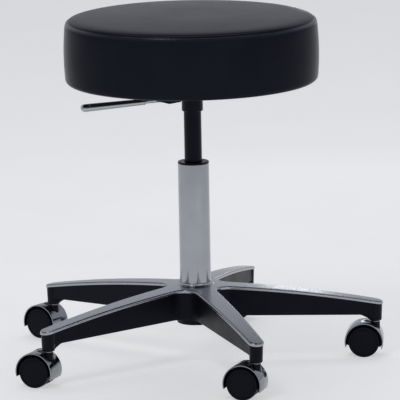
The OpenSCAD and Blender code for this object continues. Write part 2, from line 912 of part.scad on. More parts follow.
module seat_foam() {
    inner = cover_t + soft_gap;
    color("#e4dcc2")
        difference() {
            rotate_extrude()
                polygon(concat(cushion_line(inner), [[0, seat_z + inner]]));
            translate([0, 0, board_z - cut])
                cylinder(h = board_t + cut, d = board_d + 2 * soft_gap);
            at_screws()
                translate([0, 0, board_z])
                    cylinder(h = board_t + tnut_flange_t + soft_gap, d = tnut_flange_d + 2 * soft_gap);
        }
}

module dust_cover() {
    color("#1f2022")
        translate([0, 0, seat_z - dust_t])
            difference() {
                cylinder(h = dust_t, d = dust_d);
                at_screws()
                    translate([0, 0, -cut])
                        cylinder(h = dust_t + 2 * cut, d = screw_hole_d);
            }
}

// Puts a caster under leg k, trailing the way that it was left
module at_caster(k) {
    rotate((k - 1) * 2 * half_sector)
        translate([stem_circle_r, 0, 0])
            rotate(HEADINGS[k - 1] - (k - 1) * 2 * half_sector)
                children();
}

module caster_stem() {
    ring_z = boss_z + stem_l - groove_drop;
    color("#c6cacd")
        difference() {
            union() {
                translate([0, 0, shoulder_z - spigot_l])
                    cylinder(h = spigot_l, d = spigot_d);
                translate([0, 0, shoulder_z])
                    cylinder(h = shoulder_t, d = shoulder_d);
                translate([0, 0, shoulder_z + shoulder_t])
                    cylinder(h = stem_l + thrust_gap - lead_in, d = stem_d);
                translate([0, 0, boss_z + stem_l - lead_in])
                    cylinder(h = lead_in, r1 = stem_d / 2, r2 = stem_d / 2 - lead_in);
            }
            translate([0, 0, ring_z - groove_w / 2])
                difference() {
                    cylinder(h = groove_w, d = stem_d + cut);
                    translate([0, 0, -cut])
                        cylinder(h = groove_w + 2 * cut, r = stem_d / 2 - groove_depth);
                }
        }
}

// Extrudes a side view of the caster, drawn with X along the trail and Y up from the floor
module caster_side(width) {
    translate([0, width / 2, 0])
        rotate([90, 0, 0])
            linear_extrude(width)
                children();
}

// Everything above the slanted line on which the hood ends
module above_hood_ends() {
    polygon([[trail - hood_out_r * 2, wheel_r - hood_tail_drop], [trail, wheel_r - hood_tail_drop],
             [trail + hood_out_r, wheel_r - hood_lead_drop],
             [trail + hood_out_r * 2, wheel_r - hood_lead_drop],
             [trail + hood_out_r * 2, wheel_r + hood_out_r * 2],
             [trail - hood_out_r * 2, wheel_r + hood_out_r * 2]]);
}

// Upright slot shape from the stem towards the axle
module slot_column(gap, z0, z1) {
    translate([0, 0, z0]) {
        cylinder(h = z1 - z0, d = neck_d + 2 * gap);
        translate([slot_l, 0, 0])
            cylinder(h = z1 - z0, d = neck_d + 2 * gap);
        translate([0, -neck_d / 2 - gap, 0])
            cube([slot_l, neck_d + 2 * gap, z1 - z0]);
    }
}

module caster_hood() {
    color("#c9cdd1")
        difference() {
            caster_side(caster_w)
                intersection() {
                    difference() {
                        translate([trail, wheel_r])
                            circle(r = hood_out_r);
                        translate([trail, wheel_r])
                            circle(r = hood_in_r);
                    }
                    above_hood_ends();
                }
            slot_column(slot_gap, wheel_r, wheel_r + hood_out_r + cut);
        }
}

module caster_body() {
    color("#17181b")
        difference() {
            union() {
                caster_side(web_t)
                    intersection() {
                        union() {
                            translate([trail, wheel_r])
                                circle(r = hood_in_r - run);
                            translate([trail, wheel_r])
                                circle(r = axle_boss_r);
                        }
                        above_hood_ends();
                    }
                intersection() {
                    slot_column(0, wheel_r, wheel_r + hood_out_r);
                    caster_side(neck_d)
                        translate([trail, wheel_r])
                            circle(r = hood_out_r - saddle_sink);
                }
                translate([0, 0, wheel_r])
                    cylinder(h = shoulder_z - wheel_r, d = neck_d);
            }
            for (side = [-1, 1])
                translate([trail, side * (web_t / 2 + caster_w), wheel_r])
                    rotate([90, 0, 0])
                        translate([0, 0, -caster_w])
                            cylinder(h = 2 * caster_w, r = wheel_r + tread_gap);
            translate([0, 0, shoulder_z - spigot_l - fit])
                cylinder(h = spigot_l + cut, d = spigot_d + 2 * fit);
            translate([trail, caster_w, wheel_r])
                rotate([90, 0, 0])
                    cylinder(h = 2 * caster_w, d = axle_d + fit);
        }
}

module caster_axle() {
    axle_l = caster_w - 2 * wheel_face_t;
    color("#a9adb0")
        translate([trail, axle_l / 2, wheel_r])
            rotate([90, 0, 0])
                cylinder(h = axle_l, d = axle_d);
}

// One wheel, turned round its own axis, with its flat face outwards
module wheel(side) {
    in_y = web_t / 2 + wheel_side_gap;
    out_y = caster_w / 2;
    rim_in_r = wheel_r - wheel_rim_t;
    face_groove_r = wheel_r - face_groove_inset;
    translate([trail, 0, wheel_r])
        rotate([-90 * side, 0, 0])
            difference() {
                rotate_extrude()
                    polygon(concat(
                        [[0, in_y]],
                        [[wheel_hub_d / 2, in_y], [wheel_hub_d / 2, in_y + wheel_dish],
                         [rim_in_r, in_y + wheel_dish], [rim_in_r, in_y]],
                        arc(wheel_r - wheel_edge_r, in_y + wheel_edge_r, wheel_edge_r, -90, 0, round_steps),
                        arc(wheel_r - wheel_edge_r, out_y - wheel_edge_r, wheel_edge_r, 0, 90, round_steps),
                        [[face_groove_r + face_groove_w, out_y], [face_groove_r, out_y - face_groove_w],
                         [face_groove_r - face_groove_w, out_y], [0, out_y]]));
                translate([0, 0, in_y - cut])
                    cylinder(h = out_y - in_y - wheel_face_t + end_play + cut, d = axle_d + 2 * run);
            }
}

module wheel_near() {
    color("#131417")
        wheel(1);
}

module wheel_far() {
    color("#131417")
        wheel(-1);
}

star_base();
grip_rings();
column_tube();
column_end_plate();
column_guide_bush();
thrust_washer_lower();
thrust_balls();
thrust_washer_upper();
rubber_bumper();
rod_clip();
piston_rod();
piston();
gas_cylinder();
cylinder_seal();
release_pin();
taper_socket();
seat_plate();
lever_bracket();
lever_pivot();
lever_rod();
lever_handle();
seat_screws();
t_nuts();
seat_board();
seat_foam();
seat_cover();
dust_cover();
for (k = [1 : LEGS]) {
    at_caster(k) caster_stem();
    at_caster(k) caster_body();
    at_caster(k) caster_hood();
    at_caster(k) caster_axle();
    at_caster(k) wheel_near();
    at_caster(k) wheel_far();
}
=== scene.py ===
# %% [markdown]
# # A medical stool
# The real object is a round seat boxed in black vinyl, on a gas lift column that stands on a
# polished five-leg base with hooded twin-wheel casters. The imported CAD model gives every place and
# size. This file dresses it: shapes that catch the light are worked out again as smooth surfaces,
# and every piece gets the finish of the real one.

# %% Load the frame
import json
import math

import bmesh
import bpy
import numpy as np
from mathutils import Matrix, Vector


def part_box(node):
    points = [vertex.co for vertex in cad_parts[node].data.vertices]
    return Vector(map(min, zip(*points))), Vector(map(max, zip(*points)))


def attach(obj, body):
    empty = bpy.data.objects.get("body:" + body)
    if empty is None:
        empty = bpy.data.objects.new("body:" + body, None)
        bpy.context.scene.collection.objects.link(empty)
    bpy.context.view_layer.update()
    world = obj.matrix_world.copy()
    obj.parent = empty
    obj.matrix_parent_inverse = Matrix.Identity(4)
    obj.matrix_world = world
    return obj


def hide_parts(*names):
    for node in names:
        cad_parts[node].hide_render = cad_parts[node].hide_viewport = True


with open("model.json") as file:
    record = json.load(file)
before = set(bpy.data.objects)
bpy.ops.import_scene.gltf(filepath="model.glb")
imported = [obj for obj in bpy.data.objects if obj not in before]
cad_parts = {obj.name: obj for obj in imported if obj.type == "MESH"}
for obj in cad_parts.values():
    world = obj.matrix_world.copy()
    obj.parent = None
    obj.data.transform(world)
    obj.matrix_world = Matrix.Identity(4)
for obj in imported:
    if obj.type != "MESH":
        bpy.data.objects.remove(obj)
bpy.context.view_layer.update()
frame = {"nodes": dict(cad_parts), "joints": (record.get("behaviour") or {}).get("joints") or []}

MM = 0.001
joints = {joint["name"]: joint for joint in frame["joints"]}

# %% [markdown]
# ## Camera
# The photograph was taken from about six metres with a long lens, so upright edges stay nearly
# parallel. The camera is placed from angles, because a camera has its own three directions: to the
# right, up, and backwards. These are the columns of its matrix.

# %% Camera
CAMERA_PLACE = Vector((-0.04103, -6.07530, 1.45907))
CAMERA_YAW = math.radians(0.477)
CAMERA_PITCH = math.radians(11.156)
CAMERA_ROLL = math.radians(-1.041)
CAMERA_LENS = 347.1
CAMERA_SENSOR = 36


def camera_matrix(place, yaw, pitch, roll):
    """Matrix whose columns are right, up and back.

    The view goes along forward = (sin yaw cos pitch, cos yaw cos pitch, -sin pitch).
    """
    forward = Vector((math.sin(yaw) * math.cos(pitch), math.cos(yaw) * math.cos(pitch), -math.sin(pitch)))
    level = Vector((math.cos(yaw), -math.sin(yaw), 0))
    upright = level.cross(forward)
    right = math.cos(roll) * level + math.sin(roll) * upright
    up = -math.sin(roll) * level + math.cos(roll) * upright
    return Matrix.Translation(place) @ Matrix((right, up, -forward)).transposed().to_4x4()


camera = bpy.data.objects.new("camera", bpy.data.cameras.new("camera"))
camera.data.lens = CAMERA_LENS
camera.data.sensor_width = CAMERA_SENSOR
camera.matrix_world = camera_matrix(CAMERA_PLACE, CAMERA_YAW, CAMERA_PITCH, CAMERA_ROLL)
bpy.context.scene.collection.objects.link(camera)
bpy.context.scene.camera = camera
print("camera stands", round(CAMERA_PLACE.length, 2), "m from the origin")

# %% [markdown]
# ## Colours and nodes
# A colour is listed as an sRGB hex value, but a shader works in linear light, so one function
# turns the one into the other. Another adds a node with its settings and its links. Each material is
# then a short list that reads from the pattern, over colour and gloss, to the shader.

# %% Colour and node helpers


def linear(text):
    """sRGB hex to linear RGBA: c / 12.92 below 0.04045, and ((c + 0.055) / 1.055) ^ 2.4 above."""
    parts = [int(text[i:i + 2], 16) / 255 for i in (1, 3, 5)]
    return tuple(c / 12.92 if c <= 0.04045 else ((c + 0.055) / 1.055) ** 2.4 for c in parts) + (1.0,)


def add(tree, kind, inputs=None, stops=(), **settings):
    """Adds a node. Each input holds a value or the output it is linked from; stops colour a ramp."""
    made = tree.nodes.new(kind)
    for name, value in settings.items():
        setattr(made, name, value)
    for name, value in (inputs or {}).items():
        if isinstance(value, bpy.types.NodeSocket):
            tree.links.new(value, made.inputs[name])
        else:
            made.inputs[name].default_value = value
    for i, (position, colour) in enumerate(stops):
        ramp = made.color_ramp.elements
        stop = ramp[i] if i < len(ramp) else ramp.new(position)
        stop.position, stop.color = position, linear(colour)
    return made


def new_material(name):
    """An empty material: returns it, its node tree and the object's own coordinates."""
    material = bpy.data.materials.new(name)
    material.use_nodes = True
    tree = material.node_tree
    tree.nodes.clear()
    return material, tree, add(tree, "ShaderNodeTexCoord").outputs["Object"]


def per_metre(size_mm):
    """Scale of a pattern whose cells are size_mm wide, for coordinates in metres."""
    return 1000 / size_mm


# Most of a noise lies between these two values, so a ramp or a range is laid out between them
LOW, HIGH = 0.3, 0.7
print("helpers ready; mid grey #808080 is", round(linear("#808080")[0], 3), "in linear light")

# %% [markdown]
# ## Metals
# Chrome plate is nearly a mirror: the eye sees the room in it, a little darker than the room is.
# Die-cast aluminium that was polished by hand is softer, with faint swirls and a slight haze.
# Steel that stays bare under the seat is zinc plated or ground, so it gets a fine grain. A metal's
# colour is its reflection, so the base colour does the work and the index of refraction stays as it is.

# %% Chrome plate


def chrome_plate(name, dark, light, rough, wave_mm):
    """Mirror-like plating over drawn steel: a breath of haze, and slow waves wave_mm deep."""
    material, tree, place = new_material(name)
    haze = add(tree, "ShaderNodeTexNoise", {"Vector": place, "Scale": per_metre(40), "Detail": 3.0})
    colour = add(tree, "ShaderNodeValToRGB", {"Fac": haze.outputs["Fac"]}, ((LOW, dark), (HIGH, light)))
    gloss = add(tree, "ShaderNodeMapRange", {"Value": haze.outputs["Fac"], "From Min": LOW, "From Max": HIGH,
                                             "To Min": rough * 0.85, "To Max": rough * 1.2})
    wave = add(tree, "ShaderNodeTexNoise", {"Vector": place, "Scale": per_metre(30), "Detail": 1.0})
    relief = add(tree, "ShaderNodeBump", {"Height": wave.outputs["Fac"], "Distance": wave_mm * MM})
    shader = add(tree, "ShaderNodeBsdfPrincipled", {
        "Base Color": colour.outputs["Color"], "Metallic": 1.0, "Roughness": gloss.outputs["Result"],
        "Normal": relief.outputs["Normal"]})
    add(tree, "ShaderNodeOutputMaterial", {"Surface": shader.outputs["BSDF"]})
    return material


tube_chrome = chrome_plate("tube_chrome", "#9da0a5", "#a5a8ad", 0.09, 0.03)
hood_chrome = chrome_plate("hood_chrome", "#888b90", "#93969b", 0.11, 0.02)
handle_chrome = chrome_plate("handle_chrome", "#a8abaf", "#b4b7ba", 0.08, 0.02)
print("chrome plate:", tube_chrome.name, hood_chrome.name, handle_chrome.name)

# %% Polished cast aluminium
polished_aluminium, tree, place = new_material("polished_cast_aluminium")
# Swirls left by the buffing wheel, as broad as the wheel's face
swirl = add(tree, "ShaderNodeTexNoise", {"Vector": place, "Scale": per_metre(16), "Detail": 4.0,
                                         "Distortion": 1.2})
colour = add(tree, "ShaderNodeValToRGB", {"Fac": swirl.outputs["Fac"]}, ((LOW, "#a4a6aa"), (HIGH, "#aeb0b4")))
gloss = add(tree, "ShaderNodeMapRange", {"Value": swirl.outputs["Fac"], "From Min": LOW, "From Max": HIGH,
                                         "To Min": 0.22, "To Max": 0.28})
# Polishing lines are about 0.1 mm apart and would not show, so they are drawn 0.8 mm apart
buffing = add(tree, "ShaderNodeTexNoise", {"Vector": place, "Scale": per_metre(0.8), "Detail": 1.0})
relief = add(tree, "ShaderNodeBump", {"Height": buffing.outputs["Fac"], "Distance": 0.0008 * MM})
shader = add(tree, "ShaderNodeBsdfPrincipled", {
    "Base Color": colour.outputs["Color"], "Metallic": 1.0, "Roughness": gloss.outputs["Result"],
    "Normal": relief.outputs["Normal"]})
add(tree, "ShaderNodeOutputMaterial", {"Surface": shader.outputs["BSDF"]})
print("polished cast aluminium has", len(tree.nodes), "nodes")

# %% Bare steel


def bare_steel(name, dark, light, rough, grain_mm):
    """Ground or plated steel: one fine grain in colour, gloss and relief."""
    material, tree, place = new_material(name)
    grain = add(tree, "ShaderNodeTexNoise", {"Vector": place, "Scale": per_metre(grain_mm), "Detail": 3.0})
    colour = add(tree, "ShaderNodeValToRGB", {"Fac": grain.outputs["Fac"]}, ((LOW, dark), (HIGH, light)))
    gloss = add(tree, "ShaderNodeMapRange", {"Value": grain.outputs["Fac"], "From Min": LOW, "From Max": HIGH,
                                             "To Min": rough * 0.8, "To Max": rough * 1.3})
    relief = add(tree, "ShaderNodeBump", {"Height": grain.outputs["Fac"], "Distance": 0.01 * MM})
    shader = add(tree, "ShaderNodeBsdfPrincipled", {
        "Base Color": colour.outputs["Color"], "Metallic": 1.0, "Roughness": gloss.outputs["Result"],
        "Normal": relief.outputs["Normal"]})
    add(tree, "ShaderNodeOutputMaterial", {"Surface": shader.outputs["BSDF"]})
    return material


ground_steel = bare_steel("ground_steel", "#a4a7aa", "#bcbfc2", 0.22, 0.9)
zinc_plate = bare_steel("zinc_plated_steel", "#8f9290", "#b3b4ac", 0.38, 2.5)
mild_steel = bare_steel("mild_steel", "#6d7072", "#8a8c8e", 0.42, 1.6)
staple_wire = bare_steel("galvanised_staple_wire", "#9a9d9f", "#b9bbbc", 0.35, 0.6)
print("bare steels:", ground_steel.name, zinc_plate.name, mild_steel.name, staple_wire.name)

# %% [markdown]
# ## Black finishes
# Six blacks meet on this stool, and they differ in gloss and relief more than in colour: enamel
# sprayed on steel, paint on the sides of the casting, moulded nylon on the casters, turned acetal in
# the guide bush, rubber, and vinyl on the seat. Each gets its own roughness and its own small relief.
# Fine relief scatters the straight-on reflection, so their specular level is set below the usual half.

# %% Paint, nylon, acetal and rubber
# The reflections on the blacks of the photograph lean to blue, so their specular is tinted
BLACK_TINT = linear("#c9ceee")


def black_finish(name, dark, light, rough, cell_mm, depth_mm, specular):
    """A black paint or plastic: relief depth_mm deep in cells of cell_mm, and a slow drift in gloss."""
    material, tree, place = new_material(name)
    drift = add(tree, "ShaderNodeTexNoise", {"Vector": place, "Scale": per_metre(35), "Detail": 3.0})
    colour = add(tree, "ShaderNodeValToRGB", {"Fac": drift.outputs["Fac"]}, ((LOW, dark), (HIGH, light)))
    gloss = add(tree, "ShaderNodeMapRange", {"Value": drift.outputs["Fac"], "From Min": LOW, "From Max": HIGH,
                                             "To Min": rough * 0.88, "To Max": rough * 1.15})
    cells = add(tree, "ShaderNodeTexNoise", {"Vector": place, "Scale": per_metre(cell_mm), "Detail": 2.0})
    relief = add(tree, "ShaderNodeBump", {"Height": cells.outputs["Fac"], "Distance": depth_mm * MM})
    shader = add(tree, "ShaderNodeBsdfPrincipled", {
        "Base Color": colour.outputs["Color"], "Roughness": gloss.outputs["Result"],
        "Specular IOR Level": specular, "Specular Tint": BLACK_TINT,
        "Normal": relief.outputs["Normal"]})
    add(tree, "ShaderNodeOutputMaterial", {"Surface": shader.outputs["BSDF"]})
    return material


casting_paint = black_finish("satin_black_casting_paint", "#0a0b0f", "#101116", 0.38, 1.6, 0.02, 0.16)
black_enamel = black_finish("black_enamel", "#0a0b0f", "#0f1014", 0.32, 2.2, 0.012, 0.16)
caster_nylon = black_finish("moulded_nylon", "#0a0b0e", "#0f1013", 0.40, 0.7, 0.012, 0.16)
wheel_nylon = black_finish("spark_textured_nylon", "#0b0c0f", "#101115", 0.5, 0.6, 0.02, 0.15)
bush_acetal = black_finish("turned_acetal", "#090a0d", "#0d0e12", 0.3, 1.1, 0.006, 0.16)
seal_rubber = black_finish("nitrile_rubber", "#111113", "#19191c", 0.7, 0.9, 0.02, 0.3)
print("black finishes ready; the wheels are", wheel_nylon.name)

# %% [markdown]
# ## Seat materials
# Upholstery vinyl is calendered with a leather grain: pebbles about 1.3 mm across with thin valleys.
# It is nearly black from the front, but it shines grey where light grazes its top. A very low specular
# level keeps the sides black, and the shader's own Fresnel still gives the grazed top its grey, because
# the surface is fairly smooth. The dust cover under the seat is spun-bonded cloth, whose flattened
# fibres show as short pale streaks. The board inside is birch plywood.

# %% Vinyl
seat_vinyl, tree, place = new_material("upholstery_vinyl")
PEBBLE_MM = 1.3
VINYL_LEVEL = 0.03
pebbles = add(tree, "ShaderNodeTexVoronoi", {"Vector": place, "Scale": per_metre(PEBBLE_MM)},
              feature="SMOOTH_F1")
creases = add(tree, "ShaderNodeTexNoise", {"Vector": place, "Scale": per_metre(6), "Detail": 4.0})
heights = add(tree, "ShaderNodeMath", {0: pebbles.outputs["Distance"], 1: creases.outputs["Fac"]},
              operation="ADD")
relief = add(tree, "ShaderNodeBump", {"Height": heights.outputs["Value"], "Distance": 0.06 * MM,
                                      "Strength": 0.6})
wear = add(tree, "ShaderNodeTexNoise", {"Vector": place, "Scale": per_metre(70), "Detail": 4.0})
colour = add(tree, "ShaderNodeValToRGB", {"Fac": wear.outputs["Fac"]}, ((LOW, "#191b22"), (HIGH, "#1d1f26")))
gloss = add(tree, "ShaderNodeMapRange", {"Value": wear.outputs["Fac"], "From Min": LOW, "From Max": HIGH,
                                         "To Min": 0.2, "To Max": 0.24})
vinyl_shader = add(tree, "ShaderNodeBsdfPrincipled", {
    "Base Color": colour.outputs["Color"], "Roughness": gloss.outputs["Result"],
    "Specular IOR Level": VINYL_LEVEL, "Specular Tint": BLACK_TINT, "Normal": relief.outputs["Normal"]})
add(tree, "ShaderNodeOutputMaterial", {"Surface": vinyl_shader.outputs["BSDF"]})
print("vinyl pebbles are", PEBBLE_MM, "mm across")

# %% Dust cover
dust_cloth, tree, place = new_material("spun_bonded_cloth")
flat = add(tree, "ShaderNodeMapping", {"Vector": place, "Scale": (1.0, 0.25, 1.0)})
fibres = add(tree, "ShaderNodeTexNoise", {"Vector": flat.outputs["Vector"], "Scale": per_metre(1.2),
                                          "Detail": 6.0})
colour = add(tree, "ShaderNodeValToRGB", {"Fac": fibres.outputs["Fac"]}, (
    (LOW, "#101012"), (HIGH, "#26262a")))
relief = add(tree, "ShaderNodeBump", {"Height": fibres.outputs["Fac"], "Distance": 0.08 * MM})
shader = add(tree, "ShaderNodeBsdfPrincipled", {
    "Base Color": colour.outputs["Color"], "Roughness": 0.9, "Specular IOR Level": 0.3,
    "Normal": relief.outputs["Normal"]})
add(tree, "ShaderNodeOutputMaterial", {"Surface": shader.outputs["BSDF"]})
print("dust cover:", dust_cloth.name)

# %% Plywood
birch_plywood, tree, place = new_material("birch_plywood")
plies = add(tree, "ShaderNodeMapping", {"Vector": place, "Scale": (0.12, 1.0, 6.0)})
grain = add(tree, "ShaderNodeTexNoise", {"Vector": plies.outputs["Vector"], "Scale": per_metre(5),
                                         "Detail": 6.0})
colour = add(tree, "ShaderNodeValToRGB", {"Fac": grain.outputs["Fac"]}, ((LOW, "#a8834f"), (HIGH, "#d8b882")))
relief = add(tree, "ShaderNodeBump", {"Height": grain.outputs["Fac"], "Distance": 0.05 * MM})
shader = add(tree, "ShaderNodeBsdfPrincipled", {
    "Base Color": colour.outputs["Color"], "Roughness": 0.6, "Normal": relief.outputs["Normal"]})
add(tree, "ShaderNodeOutputMaterial", {"Surface": shader.outputs["BSDF"]})
print("board:", birch_plywood.name)

# %% [markdown]
# ## From grids to pieces
# Each new shape is one or more grids of points worked out at once by numpy, in millimetres. A grid
# of rows by columns becomes quads between neighbours. Where grids meet, or a grid closes on itself,
# the doubled points are merged, and then the faces are turned outwards.

# %% Grid helpers
RING = 96


def join_grids(grids):
    """Stacks grids into points and quads. Quad (i, j) joins (i, j), (i, j+1), (i+1, j+1), (i+1, j)."""
    points, quads, start = [], [], 0
    for grid in grids:
        rows, columns = grid.shape[:2]
        index = start + np.arange(rows * columns).reshape(rows, columns)
        corners = np.stack([index[:-1, :-1], index[:-1, 1:], index[1:, 1:], index[1:, :-1]], axis=-1)
        points.append(grid.reshape(-1, 3))
        quads.append(corners.reshape(-1, 4))
        start += rows * columns
    return np.concatenate(points), np.concatenate(quads)


def closed_object(name, grids, merge):
    """An object from grids in millimetres, with doubles within merge joined and faces turned outwards."""
    points, quads = join_grids(grids)
    mesh = bpy.data.meshes.new(name)
    mesh.from_pydata((points * MM).tolist(), [], quads.tolist())
    shape = bmesh.new()
    shape.from_mesh(mesh)
    bmesh.ops.remove_doubles(shape, verts=shape.verts, dist=merge * MM)
    bmesh.ops.dissolve_degenerate(shape, edges=shape.edges, dist=merge * MM)
    bmesh.ops.recalc_face_normals(shape, faces=shape.faces)
    shape.to_mesh(mesh)
    shape.free()
    made = bpy.data.objects.new(name, mesh)
    bpy.context.scene.collection.objects.link(made)
    return made


def make_piece(name, grids, body, material, replaces=(), sharp=32.0, merge=0.004):
    """Makes one closed piece from grids in millimetres, and lets it ride on a body of the frame."""
    piece = closed_object(name, grids, merge)
    mesh = piece.data
    mesh.shade_smooth()
    mesh.set_sharp_from_angle(angle=math.radians(sharp))
    mesh.materials.append(material)
    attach(piece, body)
    if replaces:
        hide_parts(*replaces)
    print(f"{name}: {len(mesh.polygons)} faces, rides on {body}")
    return piece


def lathe(profile, segments=RING):
    """Carries a profile of (radius, height) round the Z axis: (r cos a, r sin a, h)."""
    profile = np.asarray(profile, float)
    turn = np.linspace(0, 2 * np.pi, segments + 1)
    radius, height = profile[:, :1], profile[:, 1:]
    return np.stack([radius * np.cos(turn), radius * np.sin(turn), height + 0 * turn], axis=-1)


def rounded(corners, steps=4):
    """Closed outline through corners (x, y, radius). Each is rounded by (1-s)^2 A + 2 s (1-s) C + s^2 B."""
    corners = np.asarray(corners, float)
    s = np.linspace(0, 1, steps + 1)[:, None]
    outline = []
    for i in range(len(corners)):
        corner, radius = corners[i, :2], corners[i, 2]
        before = corners[i - 1, :2] - corner
        after = corners[(i + 1) % len(corners), :2] - corner
        if radius == 0:
            outline.append(corner[None])
            continue
        a = corner + before / np.linalg.norm(before) * radius
        b = corner + after / np.linalg.norm(after) * radius
        outline.append((1 - s) ** 2 * a + 2 * s * (1 - s) * corner + s ** 2 * b)
    outline = np.concatenate(outline)
    return np.concatenate([outline, outline[:1]])


def box_mm(node):
    """Lowest and highest corner of a CAD node, in millimetres."""
    return tuple(np.array(corner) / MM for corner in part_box(node))


def turned(grids, angle):
    """Grids turned round the Z axis: (x cos a - y sin a, x sin a + y cos a, z)."""
    c, s = math.cos(angle), math.sin(angle)
    turn = np.array([[c, s, 0], [-s, c, 0], [0, 0, 1]])
    return [grid @ turn for grid in grids]


def vectors_of(mesh, what):
    """Places ("co") or normals ("normal") of a mesh's vertices, as rows of x, y and z."""
    flat = np.empty(len(mesh.vertices) * 3)
    mesh.vertices.foreach_get(what, flat)
    return flat.reshape(-1, 3)


print("a ring of", RING, "points turns", round(360 / RING, 2), "degrees at each")

# %% [markdown]
# ## Seat cushion
# The cover is a top panel and a band, sewn together in a seam that sinks about a millimetre into the
# foam. Modelling it as a plain turned form would look hard, so the shape comes from cloth: a coarse
# copy, 3 mm smaller, is swollen by air pressure with a limit on how far it may move. The fine surface
# is then laid on the swollen one, and only after that the seam is drawn in, because a remesh would
# erase it. The underside stays flat, because there the cover is stapled to the board.

# %% Cushion outline
# In millimetres, and fitted to the outline that the seat has in the photograph
seat_low, seat_high = box_mm("seat_cover")
SEAT_R = (seat_high[0] - seat_low[0]) / 2
UNDER_Z, TOP_Z = seat_low[2], seat_high[2]
SIDE_BULGE = 1.6
SIDE_END_R = SEAT_R - 2.6
SHOULDER = 15.0
SHOULDER_ROLL = (3.3, 1.8)
CORNER = 8.5
CROWN, CROWN_POWER = 4.9, 1.6
RIM_FALL, RIM_POWER = 4.3, 18
SEAM_Z = TOP_Z - CROWN - RIM_FALL
SEAM_R = SIDE_END_R - 4.3
FLAT_R = 60.0
MIDDLE_ROWS = 11


def shoulder_curve(t, shrink):
    """Shoulder from the seam at t = 0 to the side at t = 1: (1-t)^2 A + 2 t (1-t) C + t^2 B."""
    t = np.asarray(t, float)[:, None]
    a = np.array([SEAM_R, SEAM_Z - shrink])
    c = np.array([SEAM_R + SHOULDER_ROLL[0] - shrink, SEAM_Z - SHOULDER_ROLL[1] - shrink])
    b = np.array([SIDE_END_R - shrink, SEAM_Z - SHOULDER])
    return (1 - t) ** 2 * a + 2 * t * (1 - t) * c + t ** 2 * b


def cushion_profile(shrink, rows):
    """Outline (radius, height) from the top's middle to the underside's middle, drawn in by shrink.

    The top falls by CROWN s^1.6 + RIM_FALL s^18 to the seam, so it is nearly flat and rolls over at its
    rim. Then comes the shoulder, the side swells by SIDE_BULGE (1 - s^2), and a quarter circle turns in
    under the seat.
    """
    top, shoulder, side, corner, under = rows
    s = np.linspace(0, 1, top)
    fall = CROWN * s ** CROWN_POWER + RIM_FALL * s ** RIM_POWER
    top_line = np.stack([FLAT_R + (SEAM_R - FLAT_R) * s, TOP_Z - fall - shrink], axis=-1)
    shoulder_line = shoulder_curve(np.linspace(0, 1, shoulder + 1)[1:], shrink)
    s = np.linspace(-1, 1, side + 1)[1:]
    length = SEAM_Z - UNDER_Z - SHOULDER - CORNER
    side_line = np.stack([SIDE_END_R - shrink + SIDE_BULGE * (1 - s ** 2),
                          SEAM_Z - SHOULDER - length * (s + 1) / 2], axis=-1)
    a = np.linspace(0, 90, corner + 1)[1:] * math.pi / 180
    corner_line = np.stack([SIDE_END_R - CORNER + (CORNER - shrink) * np.cos(a),
                            UNDER_Z + CORNER - (CORNER - shrink) * np.sin(a)], axis=-1)
    middle_r = np.linspace(0, FLAT_R, MIDDLE_ROWS + 1)[:-1]
    middle = np.stack([middle_r, np.full(MIDDLE_ROWS, TOP_Z - shrink)], axis=-1)
    inner = np.linspace(SIDE_END_R - CORNER, 0, under + 1)[1:]
    under_line = np.stack([inner, np.full(under, UNDER_Z + shrink)], axis=-1)
    return np.concatenate([middle, top_line, shoulder_line, side_line, corner_line, under_line])


print("seat", round(2 * SEAT_R), "mm wide, seam at radius", round(SEAM_R, 1), "mm")

# %% [markdown]
# ## Sheen painted under the seam
# The vinyl's specular level is raised in a narrow band just under the seam, so it reflects more there
# than on the rest of the side: a painted sheen that draws a light line along the shoulder. The band could
# be painted on the mesh, but the distance from one circle, worked out by nodes, gives it evenly all round.

# %% Painted sheen: the vinyl's specular level raised in a band under the seam
# Painted sheen: in a band under the seam the specular level rises, to draw a light line along the shoulder
PAINTED_SHEEN_R, PAINTED_SHEEN_Z = SEAM_R + 1.5, SEAM_Z - 2.0
PAINTED_SHEEN_REACH = 4.5
PAINTED_SHEEN_LEVEL = 0.4
tree = seat_vinyl.node_tree
place = add(tree, "ShaderNodeTexCoord").outputs["Object"]
across = add(tree, "ShaderNodeMapping", {"Vector": place, "Scale": (1.0, 1.0, 0.0)})
radius = add(tree, "ShaderNodeVectorMath", {0: across.outputs["Vector"]}, operation="LENGTH")
height = add(tree, "ShaderNodeSeparateXYZ", {"Vector": place})
outline_place = add(tree, "ShaderNodeCombineXYZ", {"X": radius.outputs["Value"], "Y": height.outputs["Z"]})
off = add(tree, "ShaderNodeVectorMath", {0: outline_place.outputs["Vector"],
                                         1: (PAINTED_SHEEN_R * MM, PAINTED_SHEEN_Z * MM, 0.0)}, operation="DISTANCE")
# The painted sheen is strongest on the band's circle and falls to the vinyl's own level at its reach
shine = add(tree, "ShaderNodeMapRange", {"Value": off.outputs["Value"], "From Min": PAINTED_SHEEN_REACH * MM,
                                         "From Max": 0.0, "To Min": VINYL_LEVEL,
                                         "To Max": PAINTED_SHEEN_LEVEL})
tree.links.new(shine.outputs["Result"], vinyl_shader.inputs["Specular IOR Level"])
print("the vinyl shines within", PAINTED_SHEEN_REACH, "mm of the seam's roll")

# %% [markdown]
# ## Swelling and sewing
# Foam presses the cover outwards, and the seam and the board hold it back. A cloth modifier does the
# same: points near the seam and on the board are held, and air pressure moves the others. Cloth is slow
# and coarse, so it runs on the coarse copy, whose shape the fine surface takes over by a shrinkwrap.

# %% Swell the cushion with cloth pressure
SWELL_START = 3.0
SWELL_LIMIT = 3.0
SWELL_FRAMES = 20
SWELL_PRESSURE = 4.0
VOXEL = 5.0
COARSE_ROWS = (26, 6, 16, 5, 20)
COARSE_TURN = 144
CUSHION_MERGE = 0.01


